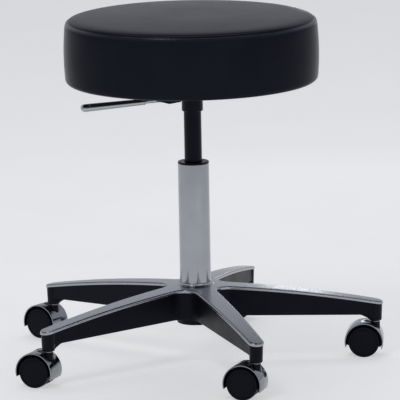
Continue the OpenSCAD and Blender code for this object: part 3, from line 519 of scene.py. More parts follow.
def swollen_cushion():
    """Coarse cushion after SWELL_FRAMES of cloth pressure, each point moved by at most SWELL_LIMIT."""
    coarse = lathe(cushion_profile(SWELL_START, COARSE_ROWS), COARSE_TURN)
    form = closed_object("cushion_form", [coarse], CUSHION_MERGE)
    bpy.context.view_layer.objects.active = form
    remesh = form.modifiers.new("voxels", "REMESH")
    remesh.mode = "VOXEL"
    remesh.voxel_size = VOXEL * MM
    bpy.ops.object.modifier_apply(modifier=remesh.name)
    before = vectors_of(form.data, "co")
    held = form.vertex_groups.new(name="held")
    radius = np.hypot(before[:, 0], before[:, 1]) / MM
    on_seam = (np.abs(radius - SEAM_R) < VOXEL) & (before[:, 2] / MM > SEAM_Z - VOXEL)
    on_board = before[:, 2] / MM < UNDER_Z + VOXEL
    held.add(np.flatnonzero(on_seam | on_board).tolist(), 1.0, "REPLACE")
    cloth = form.modifiers.new("cloth", "CLOTH")
    cloth.settings.use_pressure = True
    cloth.settings.uniform_pressure_force = SWELL_PRESSURE
    cloth.settings.effector_weights.gravity = 0.0
    cloth.settings.vertex_group_mass = "held"
    cloth.settings.quality = 5
    cloth.collision_settings.use_collision = False
    scene = bpy.context.scene
    for step in range(1, SWELL_FRAMES + 1):
        scene.frame_set(step)
    bpy.ops.object.modifier_apply(modifier=cloth.name)
    scene.frame_set(1)
    move = vectors_of(form.data, "co") - before
    far = np.linalg.norm(move, axis=1, keepdims=True)
    move *= np.minimum(1.0, SWELL_LIMIT * MM / np.maximum(far, 1e-9))
    form.data.vertices.foreach_set("co", (before + move).ravel())
    form.data.update()
    rounder = form.modifiers.new("rounder", "SUBSURF")
    rounder.levels = rounder.render_levels = 1
    bpy.ops.object.modifier_apply(modifier=rounder.name)
    print("cloth moved the cushion by up to", round(float(far.max()) / MM, 1), "mm before the limit")
    return form


# %% Lay the fine surface on the swollen form and draw the seam in
SEAM_DEPTH = 1.5
SEAM_WIDTH = 1.5
PUCKERS = 168
PUCKER_DEPTH = 0.16
PUCKER_FADE = 4.0
PUCKER_DRIFT, DRIFT_WAVES = 0.6, 9
FINE_START = 0.3
FINE_ROWS = (40, 14, 24, 12, 10)
FINE_TURN = 1008
REPLACED_ROWS = 4
STAPLED_LOW, STAPLED_H = 1.0, 10.0
IRON_PASSES = 12


def cushion_points():
    """Fine outline round the whole seat, with its rows crowded together at the seam.

    Ten rows just inside the seam are read off the top, and eight on the shoulder stand for its first
    REPLACED_ROWS.
    """
    outline = cushion_profile(FINE_START, FINE_ROWS)
    top_end = MIDDLE_ROWS + FINE_ROWS[0]
    top, below = outline[:top_end], outline[top_end:]
    near = SEAM_R + np.array([-9, -6.5, -4.6, -3.2, -2.3, -1.6, -1.1, -0.7, -0.35, 0])
    height = np.interp(near, top[:, 0], top[:, 1])
    keep_in = top[top[:, 0] < near[0] - 1]
    close = shoulder_curve([0.02, 0.04, 0.065, 0.095, 0.13, 0.17, 0.21, 0.25], FINE_START)
    rows = np.concatenate([keep_in, np.stack([near, height], axis=-1), close, below[REPLACED_ROWS:]])
    return lathe(rows, FINE_TURN)


def sewn(points, normals):
    """Sinks the seam and gathers it.

    With d, the distance from the seam's circle: sink = SEAM_DEPTH exp(-(d / SEAM_WIDTH)^2), and beside
    it the cloth puckers by PUCKER_DEPTH cos(PUCKERS a) d exp(-d / PUCKER_FADE) / 1.5 along its normal.
    The 1.5 is about PUCKER_FADE / e, where that curve peaks. The puckers' spacing drifts a little.
    """
    turn = np.arctan2(points[:, 1], points[:, 0])
    d = np.hypot(np.hypot(points[:, 0], points[:, 1]) - SEAM_R, points[:, 2] - SEAM_Z)
    sink = SEAM_DEPTH * np.exp(-(d / SEAM_WIDTH) ** 2)
    gather = PUCKER_DEPTH * np.cos(PUCKERS * turn + PUCKER_DRIFT * np.sin(DRIFT_WAVES * turn))
    gather = gather * d * np.exp(-d / PUCKER_FADE) / 1.5
    return points - normals * (sink + gather)[:, None]


def seat_cushion():
    """The whole cushion: fine grid, laid on the swollen form above the stapled edge, and sewn.

    free is 0 up to STAPLED_LOW above the underside and reaches 1 at STAPLED_H over that.
    """
    piece = make_piece("seat_cushion", [cushion_points()], "seat", seat_vinyl,
                       ("seat_cover", "seat_foam"), sharp=60, merge=CUSHION_MERGE)
    bpy.context.view_layer.objects.active = piece
    mesh = piece.data
    plain = vectors_of(mesh, "co") / MM
    form = swollen_cushion()
    laid = piece.modifiers.new("laid", "SHRINKWRAP")
    laid.target = form
    laid.wrap_method = "NEAREST_SURFACEPOINT"
    bpy.ops.object.modifier_apply(modifier=laid.name)
    ironed = piece.modifiers.new("ironed", "SMOOTH")
    ironed.iterations = IRON_PASSES
    ironed.factor = 0.5
    bpy.ops.object.modifier_apply(modifier=ironed.name)
    bpy.data.objects.remove(form)
    free = np.clip((plain[:, 2] - UNDER_Z - STAPLED_LOW) / STAPLED_H, 0, 1)[:, None]
    points = plain + free * (vectors_of(mesh, "co") / MM - plain)
    mesh.vertices.foreach_set("co", (sewn(points, vectors_of(mesh, "normal")) * MM).ravel())
    mesh.update()
    return piece


cushion = seat_cushion()

# %% [markdown]
# ## Staples
# An upholsterer fixes the dust cover with fine wire staples near its edge. Only their backs show, so
# each is one short bar. An array modifier would set them out like machine work, so each is turned by a
# small angle of its own.

# %% Staples that hold the dust cover
cloth_low, cloth_high = box_mm("dust_cover")
STAPLE_RING_R = cloth_high[0] - 6
STAPLES = 72
STAPLE_LENGTH, STAPLE_WIDTH, STAPLE_HEIGHT = 9.5, 0.9, 0.5
STAPLE_Z = cloth_low[2] - 0.15
STAPLE_SLANT = 0.12


def staple_grids():
    """Backs of the staples round the dust cover: one bar of wire, turned a little unevenly at each."""
    outline = rounded([(-0.5, -0.5, 0.2), (0.5, -0.5, 0.2), (0.5, 0.5, 0.2), (-0.5, 0.5, 0.2)], steps=1)
    along = np.array([-0.5, -0.46, 0.46, 0.5]) * STAPLE_LENGTH
    slim = np.array([0.05, 1, 1, 0.05])
    bar = np.stack([outline[None, :, 0] * STAPLE_WIDTH * slim[:, None],
                    along[:, None] + 0 * outline[None, :, 0],
                    outline[None, :, 1] * STAPLE_HEIGHT * slim[:, None]], axis=-1)
    grids = []
    for turn in np.arange(STAPLES) * 2 * np.pi / STAPLES:
        place = np.array([STAPLE_RING_R * math.cos(turn), STAPLE_RING_R * math.sin(turn), STAPLE_Z])
        slanted = turned([bar], turn + STAPLE_SLANT * math.sin(7 * turn))
        grids += [grid + place for grid in slanted]
    return grids


make_piece("staples", staple_grids(), "seat", staple_wire)

# %% [markdown]
# ## Column
# Tube, guide bush and cylinder are turned parts. The CAD mesh is exact enough to measure but coarse
# for a mirror finish, so the tube and the bush are turned again with many more segments, with the
# rolled rim of the tube and the rounded lip of the bush that catch two small lights in the photograph.

# %% Outer tube and guide bush
tube_low, tube_high = box_mm("column_tube")
bush_low, bush_high = box_mm("column_guide_bush")
cylinder_low, cylinder_high = box_mm("gas_cylinder")
TUBE_R = (tube_high[0] - tube_low[0]) / 2
TUBE_WALL = 1.5
FOOT_R = TUBE_R - 1.0
TAPER_TOP = tube_low[2] + 62.0
FLOOR_TOP = tube_low[2] + 2
FLOOR_HOLE_R = 15
CYLINDER_R = (cylinder_high[0] - cylinder_low[0]) / 2

tube_outline = rounded([
    (FLOOR_HOLE_R, tube_low[2], 0), (FOOT_R, tube_low[2], 0.6), (TUBE_R, TAPER_TOP, 8),
    (TUBE_R, tube_high[2], 0.5), (TUBE_R - TUBE_WALL, tube_high[2], 0.3),
    (TUBE_R - TUBE_WALL, TAPER_TOP, 0), (FOOT_R - TUBE_WALL, FLOOR_TOP, 0),
    (FLOOR_HOLE_R, FLOOR_TOP, 0)], steps=5)
make_piece("outer_tube", [lathe(tube_outline, 160)], "base", tube_chrome,
           ("column_tube",))

BUSH_IN_R = CYLINDER_R + 0.15
BUSH_OUT_R = TUBE_R - TUBE_WALL - 0.1
LIP_Z = tube_high[2] + 0.05
bush_outline = rounded([
    (BUSH_IN_R, bush_low[2], 0), (BUSH_OUT_R, bush_low[2], 0.5), (BUSH_OUT_R, LIP_Z, 0),
    (TUBE_R, LIP_Z, 0.3), (TUBE_R, bush_high[2], 1.4), (CYLINDER_R + 3.2, bush_high[2], 1.2),
    (BUSH_IN_R, bush_high[2] - 1.6, 0.3)], steps=6)
make_piece("guide_bush", [lathe(bush_outline, 128)], "base", bush_acetal,
           ("column_guide_bush",))

# %% [markdown]
# ## Star base
# The base is one casting. Its top is a shallow dome cut out to five tapered legs, ground and polished
# to the edge of a 5 mm strip, and everything under the strip is painted black. The outline of half a
# leg is an arc in the crotch, a straight edge and an arc round the tip. Drawn in or out it keeps its
# form, so every band of the base is a strip between two such outlines, and its height is a formula.
# A short rib runs from each boss up to the leg's underside, as castings have where a load turns.

# %% Outline of a leg
LEGS = 5
HALF_SECTOR = math.pi / LEGS
stem_place = np.array(joints["caster_swivel_1"]["pos_m"]) / MM
STEM_R = math.hypot(stem_place[0], stem_place[1])
BOSS_Z = stem_place[2]
TIP_W, ROOT_W = 25.0, 38.6
LEG_BETA = math.atan((ROOT_W - TIP_W) / 2 / STEM_R)
CROTCH_R = 24.0
TIP_Z = BOSS_Z + 34.6
DOME_RISE = 33.6
DOME_SLOPE, DOME_CURVE = 0.42, 0.58
CROTCH_CENTRE = (CROTCH_R + ROOT_W / 2 * math.cos(LEG_BETA)) / math.sin(HALF_SECTOR + LEG_BETA)
CROTCH_X = CROTCH_CENTRE * math.cos(HALF_SECTOR)
HUB_RING_R = 33.0
ARC_STEPS, EDGE_STEPS, TIP_STEPS, HUB_STEPS = 22, 40, 12, 14
RIB_SHARES = (0.3, 0.48, 0.66, 0.84)
RIB_HALF = 1.25
POCKET_END = STEM_R - 14
PAIR_HALF, PAIR_CLEAR = 0.02, 1.2


def dome(radius):
    """Height of the polished top: tip + rise (1 - slope q - curve q^2) with q = radius / stem circle."""
    q = radius / STEM_R
    return TIP_Z + DOME_RISE * (1 - DOME_SLOPE * q - DOME_CURVE * q ** 2)


def edge_stations():
    """Places along the straight edge, with a pair at each side of every rib and of the boss's wall."""
    even = np.linspace(CROTCH_X, STEM_R, EDGE_STEPS)
    steps = [POCKET_END - PAIR_HALF, POCKET_END + PAIR_HALF]
    for share in RIB_SHARES:
        for side in (-RIB_HALF, RIB_HALF):
            steps += [share * STEM_R + side - PAIR_HALF, share * STEM_R + side + PAIR_HALF]
    even = even[np.min(np.abs(even[:, None] - np.array(steps)), axis=1) > PAIR_CLEAR]
    return np.sort(np.concatenate([even, steps]))


STATIONS = edge_stations()


def half_leg(inset):
    """Half of a leg's outline, drawn in by inset, from the crotch's middle to the tip's middle."""
    start = np.linspace(math.pi + HALF_SECTOR, 1.5 * math.pi - LEG_BETA, ARC_STEPS + 1)
    centre = CROTCH_CENTRE * np.array([math.cos(HALF_SECTOR), math.sin(HALF_SECTOR)])
    arc = centre + (CROTCH_R + inset) * np.stack([np.cos(start), np.sin(start)], axis=-1)
    tip_r = TIP_W / 2 * math.cos(LEG_BETA) - inset
    turn = np.linspace(math.pi / 2 - LEG_BETA, 0, TIP_STEPS + 1)
    tip = np.array([STEM_R, 0]) + tip_r * np.stack([np.cos(turn), np.sin(turn)], axis=-1)
    share = (STATIONS[1:-1] - arc[-1, 0]) / (tip[0, 0] - arc[-1, 0])
    edge = arc[-1] + np.clip(share, 0.001, 0.999)[:, None] * (tip[0] - arc[-1])
    return np.concatenate([arc, edge, tip])


def half_spine(hub_r):
    """Where each point of the outline meets the leg's middle: round the hub, then out to the stem."""
    turn = np.linspace(HALF_SECTOR, 0, HUB_STEPS)
    hub = hub_r * np.stack([np.cos(turn), np.sin(turn)], axis=-1)
    run = np.linspace(hub_r, CROTCH_X, ARC_STEPS + 3 - HUB_STEPS)[1:-1]
    inner = np.stack([run, 0 * run], axis=-1)
    edge = np.stack([STATIONS[1:-1], 0 * STATIONS[1:-1]], axis=-1)
    tip = np.tile([[STEM_R, 0.0]], (TIP_STEPS + 1, 1))
    return np.concatenate([hub, inner, edge, tip])


def with_height(flat, height):
    """Adds a height to flat points."""
    return np.concatenate([flat, np.broadcast_to(height, flat.shape[:1])[:, None]], axis=1)


def at_all_legs(grids):
    """Grids of the first leg, turned to all the legs."""
    return [grid for k in range(LEGS) for grid in turned(grids, 2 * k * HALF_SECTOR)]


def mirrored(grids):
    """Grids of one half, with their mirror image across y = 0."""
    return grids + [grid * np.array([1, -1, 1]) for grid in grids]


print("leg outline:", len(half_leg(0)), "points a half; spine:", len(half_spine(HUB_RING_R)))

# %% [markdown]
# ## Polished top
# The polished face is one skin over hub and legs, and its rim overhangs the painted sides, which lays a
# dark line under every leg. A bevel would round all edges alike, so the rim's section is written out: a
# large round above, a straight strip and a small lip below. Round the tube the casting rises in a ring.

# %% Polished top
RIM_ROUND = 2.6
RIM_H = 5.0
RIM_LIP = 0.5
COLLAR_R = TUBE_R + 1.6
COLLAR_H = 4.8
COLLAR_ROUND = 1.5
FLARE = 4.0
LEDGE_INSET = 3.4


def radius_of(flat):
    """Distance of flat points from the column's axis."""
    return np.hypot(flat[:, 0], flat[:, 1])


def dome_ring(inset, drop):
    """The outline drawn in by inset, lying drop under the dome."""
    flat = half_leg(inset)
    return with_height(flat, dome(radius_of(flat)) - drop)


def fill_rows(outline_row, hub_r, drop, shares):
    """Rows from the spine to an outline: (1 - v) spine + v outline, at drop under the dome."""
    spine = half_spine(hub_r)
    rows = []
    for v in shares:
        flat = (1 - v) * spine + v * outline_row[:, :2]
        rows.append(with_height(flat, dome(radius_of(flat)) - drop))
    return rows


def slab_grid():
    """Half a leg of the slab under the dome: its top, rounded rim, strip and hidden underside."""
    turn = np.linspace(0, math.pi / 2, 7)
    rim = [(RIM_ROUND * (1 - math.sin(a)), RIM_ROUND * (1 - math.cos(a))) for a in turn]
    lip = [(RIM_LIP * (1 - math.cos(a)), RIM_H - RIM_LIP + RIM_LIP * math.sin(a)) for a in turn[::2]]
    rings = [dome_ring(inset, drop) for inset, drop in rim + lip + [(LEDGE_INSET, RIM_H)]]
    above = fill_rows(rings[0], HUB_RING_R, 0, (0, 0.2, 0.4, 0.6, 0.8, 0.92))
    below = fill_rows(rings[-1], HUB_RING_R, RIM_H, (0.8, 0.5, 0))
    return np.stack(above + rings + below, axis=1)


def collar_grid():
    """Half a sector of the ring round the tube, inside the slab.

    Its flare is a quarter circle hollow to the outside, with a quarter ellipse for its crest.
    """
    collar_top = dome(COLLAR_R) + COLLAR_H
    slab_top = dome(HUB_RING_R)
    slab_low = slab_top - RIM_H
    bore = TUBE_R + 0.12
    flare_r = COLLAR_R + FLARE
    foot = dome(flare_r)
    a = np.linspace(0, math.pi / 2, 9)[:, None]
    flare = np.concatenate([flare_r - FLARE * np.sin(a), foot + FLARE * (1 - np.cos(a))], axis=1)
    a = a[1:]
    crest = np.concatenate([COLLAR_R - COLLAR_ROUND * (1 - np.cos(a)),
                            foot + FLARE + (collar_top - foot - FLARE) * np.sin(a)], axis=1)
    profile = np.concatenate([
        [(HUB_RING_R, slab_top)], flare, crest,
        [(bore, collar_top - 0.1), (bore, slab_low), (HUB_RING_R, slab_low)]])
    turn = np.linspace(HALF_SECTOR, 0, HUB_STEPS)[:, None]
    return np.stack([profile[:, 0] * np.cos(turn), profile[:, 0] * np.sin(turn),
                     profile[:, 1] + 0 * turn], axis=-1)


polished_top = at_all_legs(mirrored([slab_grid()])) + at_all_legs(mirrored([collar_grid()]))
make_piece("polished_top", polished_top, "base", polished_aluminium,
           ("star_base",), sharp=40)

# %% [markdown]
# ## Painted sides
# Under the rim a leg is a channel, as foundries make it to save metal: two side walls, a roof, ribs
# across, a boss for the caster's stem at its tip, and a hub round the tube. Boolean cuts would leave
# ragged faces. Here the rows that draw the walls simply rise to the roof, or stay down at a rib.

# %% Black sides, pockets and hub
SIDE_INSET = 3.6
WALL = 4.0
SKIN_DROP = RIM_H + 3.0
HUB_R, HUB_BORE_R = TUBE_R + 6.0, TUBE_R - 0.6
HUB_Z = BOSS_Z + 3.8
BOSS_R, BOSS_LOW_R, BOSS_ROUND = 11.4, 10.2, 3.0
BORE_R = 6.0
UNDER_ROOT, UNDER_TIP = 16.6, 10.6
RIB_FOOT_R = STEM_R - BOSS_LOW_R + BOSS_ROUND
RIB_LENGTH, RIB_WIDTH = 26.0, 8.0
LID_DROP = RIM_H - 0.2


def underside(radius):
    """Underside of a leg: a straight line over the radius, from the hub to the tip."""
    return BOSS_Z + UNDER_ROOT + (UNDER_TIP - UNDER_ROOT) * radius / STEM_R


def pocket_height(flat, spine_x):
    """Height inside a pocket: its roof, or the underside where a rib or the boss fills it."""
    height = dome(radius_of(flat)) - SKIN_DROP
    solid = spine_x > POCKET_END
    for share in RIB_SHARES:
        solid |= np.abs(spine_x - share * STEM_R) < RIB_HALF
    return np.where(solid, underside(radius_of(flat)), height)


def black_side_grids():
    """Lid under the strip, outer wall, rounded lower edge, lip, inner wall, and the pockets' roof."""
    spine = half_spine(HUB_R)
    spine_x = spine[:, 0]
    lid_edge = half_leg(SIDE_INSET)
    rows = fill_rows(lid_edge, HUB_R, LID_DROP, (0, 0.5))
    top = dome(radius_of(lid_edge)) - LID_DROP
    low = underside(radius_of(lid_edge))
    for share in (0, 0.12, 0.4, 0.7, 0.93):
        rows.append(with_height(lid_edge, top + (low + 0.8 - top) * share))
    for inset, lift in ((0, 0.8), (0.1, 0.4), (0.35, 0.12), (0.8, 0)):
        rows.append(with_height(half_leg(SIDE_INSET + inset), low + lift))
    for inset in (WALL - 0.6, WALL):
        flat = half_leg(SIDE_INSET + inset)
        rows.append(with_height(flat, underside(radius_of(flat))))
    wall = half_leg(SIDE_INSET + WALL + 0.4)
    rows.append(with_height(wall, pocket_height(wall, spine_x)))
    for v in (0.6, 0.3, 0):
        flat = (1 - v) * spine + v * wall
        rows.append(with_height(flat, pocket_height(flat, spine_x)))
    strip = np.stack(rows, axis=1)
    hub_top = dome(HUB_R) - RIM_H - 2
    hub = lathe(rounded([
        (HUB_BORE_R, HUB_Z, 0.5), (HUB_R, HUB_Z, 2.6), (HUB_R, hub_top, 0), (HUB_BORE_R, hub_top, 0)]), 140)
    return at_all_legs(mirrored([strip])) + [hub]


def boss_grids():
    """Boss of the first leg: drafted, with a rounded lower edge, and the rib beside it.

    Along the rib s runs from 0 at the boss to 1, and its edge is low + (line - low) (1 - (1 - s)^2).
    """
    top = dome(STEM_R - BOSS_R) - RIM_H
    boss = lathe(rounded([
        (BORE_R, BOSS_Z, 0.4), (BOSS_LOW_R, BOSS_Z, BOSS_ROUND), (BOSS_R, top, 0), (BORE_R, top, 0)], 6), 64)
    s = np.linspace(0, 1, 13)[:, None]
    x = RIB_FOOT_R - RIB_LENGTH * s
    low = BOSS_Z + (underside(x[-1]) - BOSS_Z) * (1 - (1 - s) ** 2)
    section = rounded([(-1, 0, 0.1), (1, 0, 0.1), (1, 1, 0), (-1, 1, 0)])
    y = RIB_WIDTH / 2 * section[None, :, 0] + 0 * x
    z = low + (dome(x) - SKIN_DROP + 1 - low) * section[None, :, 1]
    rib = np.stack([x + 0 * y, y, z], axis=-1)
    ends = rib[[0, -1]].mean(axis=1, keepdims=True) + 0 * rib[[0, -1]]
    rib = np.concatenate([ends[:1], rib, ends[1:]])
    return [boss + np.array([STEM_R, 0, 0]), rib]


make_piece("painted_sides", black_side_grids() + at_all_legs(boss_grids()), "base",
           casting_paint, ("star_base",), sharp=40)

# %% [markdown]
# ## Casters
# A caster is a chromed hood over two wheels on one axle, held by a black nylon body whose neck takes
# the stem. All five are the same, so each shape is worked out once, with the stem at the origin and
# the trail along X, and then turned to its own heading. The joints of the frame give those headings.

# %% Caster sizes and places
TRAIL = 18.2
WHEEL_R = box_mm("wheel_near_1")[1][2] / 2
CASTER_W = 40.0
HOOD_R = WHEEL_R + 6.2
HOOD_WALL = 1.8
NECK_R = 7.3
SLOT_R = NECK_R + 0.25
SLOT_LENGTH = 12.0
LEAD_DROP, TAIL_DROP = 8.0, 10.8
NECK_TOP = box_mm("caster_body_1")[1][2]
CASTERS = range(1, LEGS + 1)


def heading_of(k):
    """Direction in which caster k trails, from its stem to its axle."""
    stem = Vector(joints[f"caster_swivel_{k}"]["pos_m"])
    axle = Vector(joints[f"wheel_near_spin_{k}"]["pos_m"])
    return math.atan2(axle.y - stem.y, axle.x - stem.x)


def at_caster(grids, k):
    """Turns grids to caster k's heading and puts them under its stem."""
    stem = np.array(joints[f"caster_swivel_{k}"]["pos_m"]) / MM
    return [grid + np.array([stem[0], stem[1], 0]) for grid in turned(grids, heading_of(k))]


print("casters trail towards", [round(math.degrees(heading_of(k))) for k in CASTERS], "degrees")

# %% [markdown]
# ## Hood
# The hood is pressed from sheet steel and chromed: a little more than half a cylinder over the wheels,
# slotted for the neck. A slot cut by a boolean would show in a mirror finish, so the grid itself parts
# there: its innermost line follows the slot.

# %% Chromed hood


def slot_half(x):
    """Half width of the slot at x along the trail: a straight middle with round ends."""
    beyond = np.maximum(0, np.maximum(-x, x - SLOT_LENGTH))
    return np.sqrt(np.maximum(0, SLOT_R ** 2 - beyond ** 2))


def hood_grids():
    """A cylindrical shell round the axle, open for the neck.

    Outside it is x = TRAIL + R cos a, z = WHEEL_R + R sin a. Inside, the angle is shifted so that the
    slot's walls stay upright: cos b = cos a R / (R - wall), fading to a at both ends.
    """
    lead = -math.asin(LEAD_DROP / HOOD_R)
    tail = math.pi + math.asin(TAIL_DROP / HOOD_R)
    quarter = np.linspace(0, math.pi / 2, 9)
    front = np.arccos(np.clip((SLOT_LENGTH + SLOT_R * np.cos(quarter) - TRAIL) / HOOD_R, -1, 1))
    middle = np.arccos((np.linspace(SLOT_LENGTH, 0, 7)[1:-1] - TRAIL) / HOOD_R)
    back = np.arccos((-SLOT_R * np.sin(quarter) - TRAIL) / HOOD_R)
    before = np.linspace(lead, front[0], 22)[:-1]
    after = np.linspace(back[-1], tail, 14)[1:]
    a = np.concatenate([before, front, middle, back, after])
    first, last = len(before), len(before) + len(front) + len(middle) + len(back)
    half = np.zeros(len(a))
    half[first:last] = slot_half(TRAIL + HOOD_R * np.cos(a[first:last]))
    half[first] = half[last - 1] = 0
    inner_r = HOOD_R - HOOD_WALL
    b = a.copy()
    b[first:last] = np.arccos(np.cos(a[first:last]) * HOOD_R / inner_r)
    b[:first] += (b[first] - a[first]) * np.linspace(0, 1, first)
    b[last:] += (b[last - 1] - a[last - 1]) * np.linspace(1, 0, len(a) - last)
    w = CASTER_W / 2
    outer = [(0, 0), (0, w - 0.7), (0.12, w - 0.25), (0.5, w - 0.05), (HOOD_WALL / 2, w)]
    inner = [(HOOD_WALL - depth, y) for depth, y in reversed(outer)]

    def lines(profile):
        """Columns of points, one for each depth and half width of the profile."""
        columns = []
        for depth, y in profile:
            angle = a + (b - a) * depth / HOOD_WALL
            across = np.maximum(half, y) if y else half
            columns.append(np.stack([TRAIL + (HOOD_R - depth) * np.cos(angle), across,
                                     WHEEL_R + (HOOD_R - depth) * np.sin(angle)], axis=-1))
        return np.stack(columns, axis=1)

    out_side, in_side = lines(outer), lines(inner)
    wall = np.stack([out_side[first:last, 0], in_side[first:last, -1]], axis=1)
    ends = [np.stack([out_side[i], in_side[i, ::-1]]) for i in (0, -1)]
    return mirrored([out_side, in_side, wall] + ends)


for k in CASTERS:
    make_piece(f"hood_{k}", at_caster(hood_grids(), k), f"caster_{k}", hood_chrome,
               (f"caster_hood_{k}",), sharp=35, merge=0.002)

# %% [markdown]
# ## Body
# The moulded body carries the axle and the stem. Little of it shows: the neck above the hood, the saddle
# that fills the slot, and the web between the wheels. So it is three simple shapes that meet inside.

# %% Nylon body with its neck
WEB = 11.0
WEB_R = HOOD_R - HOOD_WALL - 0.15
SADDLE_SINK = 0.6
SADDLE_FLOOR = WHEEL_R + 4
NECK_LOW, NECK_BORE_R = 35, 3.6
LEAST_FALL = 0.3


def body_grids():
    """Web between the wheels, saddle that fills the hood's slot, and neck.

    The web is a disc cut off below the axle, level behind it and rising in front to the hood's edge: a
    ray that falls by so much a millimetre reaches no further than TAIL_DROP / fall.
    """
    turn = np.linspace(0, 2 * math.pi, 97)
    reach = np.full(len(turn), WEB_R)
    slope = (TAIL_DROP - LEAD_DROP) / HOOD_R
    fall = np.where(np.cos(turn) > 0, np.cos(turn) * slope, 0) - np.sin(turn)
    cut = TAIL_DROP / np.maximum(fall, LEAST_FALL)
    reach = np.where(fall > LEAST_FALL, np.minimum(reach, cut), reach)
    half = WEB / 2
    rim = [(0, half), (0.5, half), (0.96, half), (0.99, half - 0.4), (1, half - 1), (1, 1 - half),
           (0.99, 0.4 - half), (0.96, -half), (0.5, -half), (0, -half)]
    web = np.stack([np.stack([TRAIL + share * reach * np.cos(turn), 0 * turn + y,
                              WHEEL_R + share * reach * np.sin(turn)], axis=-1) for share, y in rim])
    edge = np.linspace(0, 2 * math.pi, 65)
    x = NECK_R * np.cos(edge) + np.where(np.cos(edge) > 0, SLOT_LENGTH, 0)
    y = NECK_R * np.sin(edge)
    top_r = HOOD_R - SADDLE_SINK
    rows = []
    for share, sink in ((0, 0), (0.5, 0), (0.93, 0), (0.985, 0.25), (1, 0.8)):
        out = SLOT_LENGTH / 2 + (x - SLOT_LENGTH / 2) * share
        height = WHEEL_R + np.sqrt(top_r ** 2 - (out - TRAIL) ** 2) - sink
        rows.append(np.stack([out, y * share, height], axis=-1))
    rows.append(np.stack([x, y, 0 * x + SADDLE_FLOOR], axis=-1))
    rows.append(np.stack([0 * x + SLOT_LENGTH / 2, 0 * y, 0 * x + SADDLE_FLOOR], axis=-1))
    neck = lathe(rounded([
        (NECK_BORE_R, NECK_LOW, 0), (NECK_R, NECK_LOW, 0), (NECK_R, NECK_TOP, 0.8),
        (NECK_BORE_R, NECK_TOP, 0.2)]), 64)
    return [web, np.stack(rows), neck]


for k in CASTERS:
    make_piece(f"body_{k}", at_caster(body_grids(), k), f"caster_{k}", caster_nylon,
               (f"caster_body_{k}",), sharp=40)

# %% [markdown]
# ## Stem
# The stem is turned from steel. It goes up into the leg's boss and down into the neck, and the ring
# between them carries the load. Like every turned part it is a profile carried round its axis.

# %% Chromed stem
stem_low, stem_high = box_mm("caster_stem_1")
STEM_BOTTOM, STEM_TOP = stem_low[2], stem_high[2]
RING_R, STEM_ROD_R, SPIGOT_R = 6.8, 5.5, 3.5
RING_TOP = BOSS_Z - 0.15

stem_outline = rounded([
    (0, STEM_BOTTOM, 0), (SPIGOT_R, STEM_BOTTOM, 0.4), (SPIGOT_R, NECK_TOP, 0), (RING_R, NECK_TOP, 0.5),
    (RING_R, RING_TOP, 0.5), (STEM_ROD_R, RING_TOP, 0), (STEM_ROD_R, STEM_TOP, 0.8), (0, STEM_TOP, 0)])
for k in CASTERS:
    make_piece(f"stem_{k}", at_caster([lathe(stem_outline, 64)], k), f"caster_{k}",
               hood_chrome, (f"caster_stem_{k}",))

# %% [markdown]
# ## Wheels
# A wheel is moulded in one piece: a rounded tread, a closed outer face with a groove near its edge, and a
# hollow inner side that ribs stiffen. Most of it hides in the hood, but it turns, so it is made all
# round, from one profile and one rib.

# %% Wheels
WHEEL_IN = WEB / 2 + 0.5
FACE = CASTER_W / 2
DISH_FLOOR = WHEEL_IN + 7
TREAD_IN_R = WHEEL_R - 4.5
WHEEL_HUB_R, AXLE_HOLE_R, AXLE_HOLE_END = 7, 3.1, FACE - 3
WHEEL_RIBS = 10
WHEEL_RIB_RUN = np.array([6.5, 6.6, 20.9, 21.0])
WHEEL_RIB_HALF, WHEEL_RIB_H = 0.9, 5.5
WHEEL_RIB_LOW = WHEEL_IN + 1.5

wheel_outline = rounded([
    (AXLE_HOLE_R, WHEEL_IN, 0.3), (WHEEL_HUB_R, WHEEL_IN, 0.4), (WHEEL_HUB_R, DISH_FLOOR, 0),
    (TREAD_IN_R, DISH_FLOOR, 0.5), (TREAD_IN_R, WHEEL_IN, 0.5), (WHEEL_R, WHEEL_IN, 2.0),
    (WHEEL_R, FACE, 2.2), (WHEEL_R - 3.6, FACE, 0.4), (WHEEL_R - 4.3, FACE - 0.9, 0.2),
    (WHEEL_R - 5.0, FACE - 0.25, 0.4), (9, FACE, 4), (0, FACE, 0), (0, AXLE_HOLE_END, 0),
    (AXLE_HOLE_R, AXLE_HOLE_END, 0)], steps=5)


def wheel_grids(side):
    """A wheel turned about its axle, and ribs between its hub and its rim; side is 1 or -1."""
    disc = lathe(wheel_outline)
    grids = [np.stack([TRAIL + disc[..., 0], side * disc[..., 2], WHEEL_R + disc[..., 1]], axis=-1)]
    outline = rounded([(-WHEEL_RIB_HALF, 0, 0.2), (WHEEL_RIB_HALF, 0, 0.2),
                       (WHEEL_RIB_HALF, WHEEL_RIB_H, 0), (-WHEEL_RIB_HALF, WHEEL_RIB_H, 0)], steps=2)
    along = WHEEL_RIB_RUN[:, None]
    across = outline[None, :, 0] * np.array([0.05, 1, 1, 0.05])[:, None]
    depth = WHEEL_RIB_LOW + outline[None, :, 1] + 0 * along
    for turn in np.arange(WHEEL_RIBS) * 2 * math.pi / WHEEL_RIBS:
        grids.append(np.stack([TRAIL + along * math.cos(turn) - across * math.sin(turn), side * depth,
                               WHEEL_R + along * math.sin(turn) + across * math.cos(turn)], axis=-1))
    return grids


for k in CASTERS:
    for name, side in (("near", 1), ("far", -1)):
        make_piece(f"tyre_{name}_{k}", at_caster(wheel_grids(side), k), f"wheel_{name}_{k}",
                   wheel_nylon, (f"wheel_{name}_{k}",), sharp=40)

# %% [markdown]
# ## Lever
# The handle is a chromed bar pressed flat, wider and thicker at its outer end, and rounded off there.
# It is a loft: a superellipse carried along the rod's line, growing evenly, and closing in a quarter
# circle at each end. Its flat top mirrors the dark underside of the seat, as in the photograph.

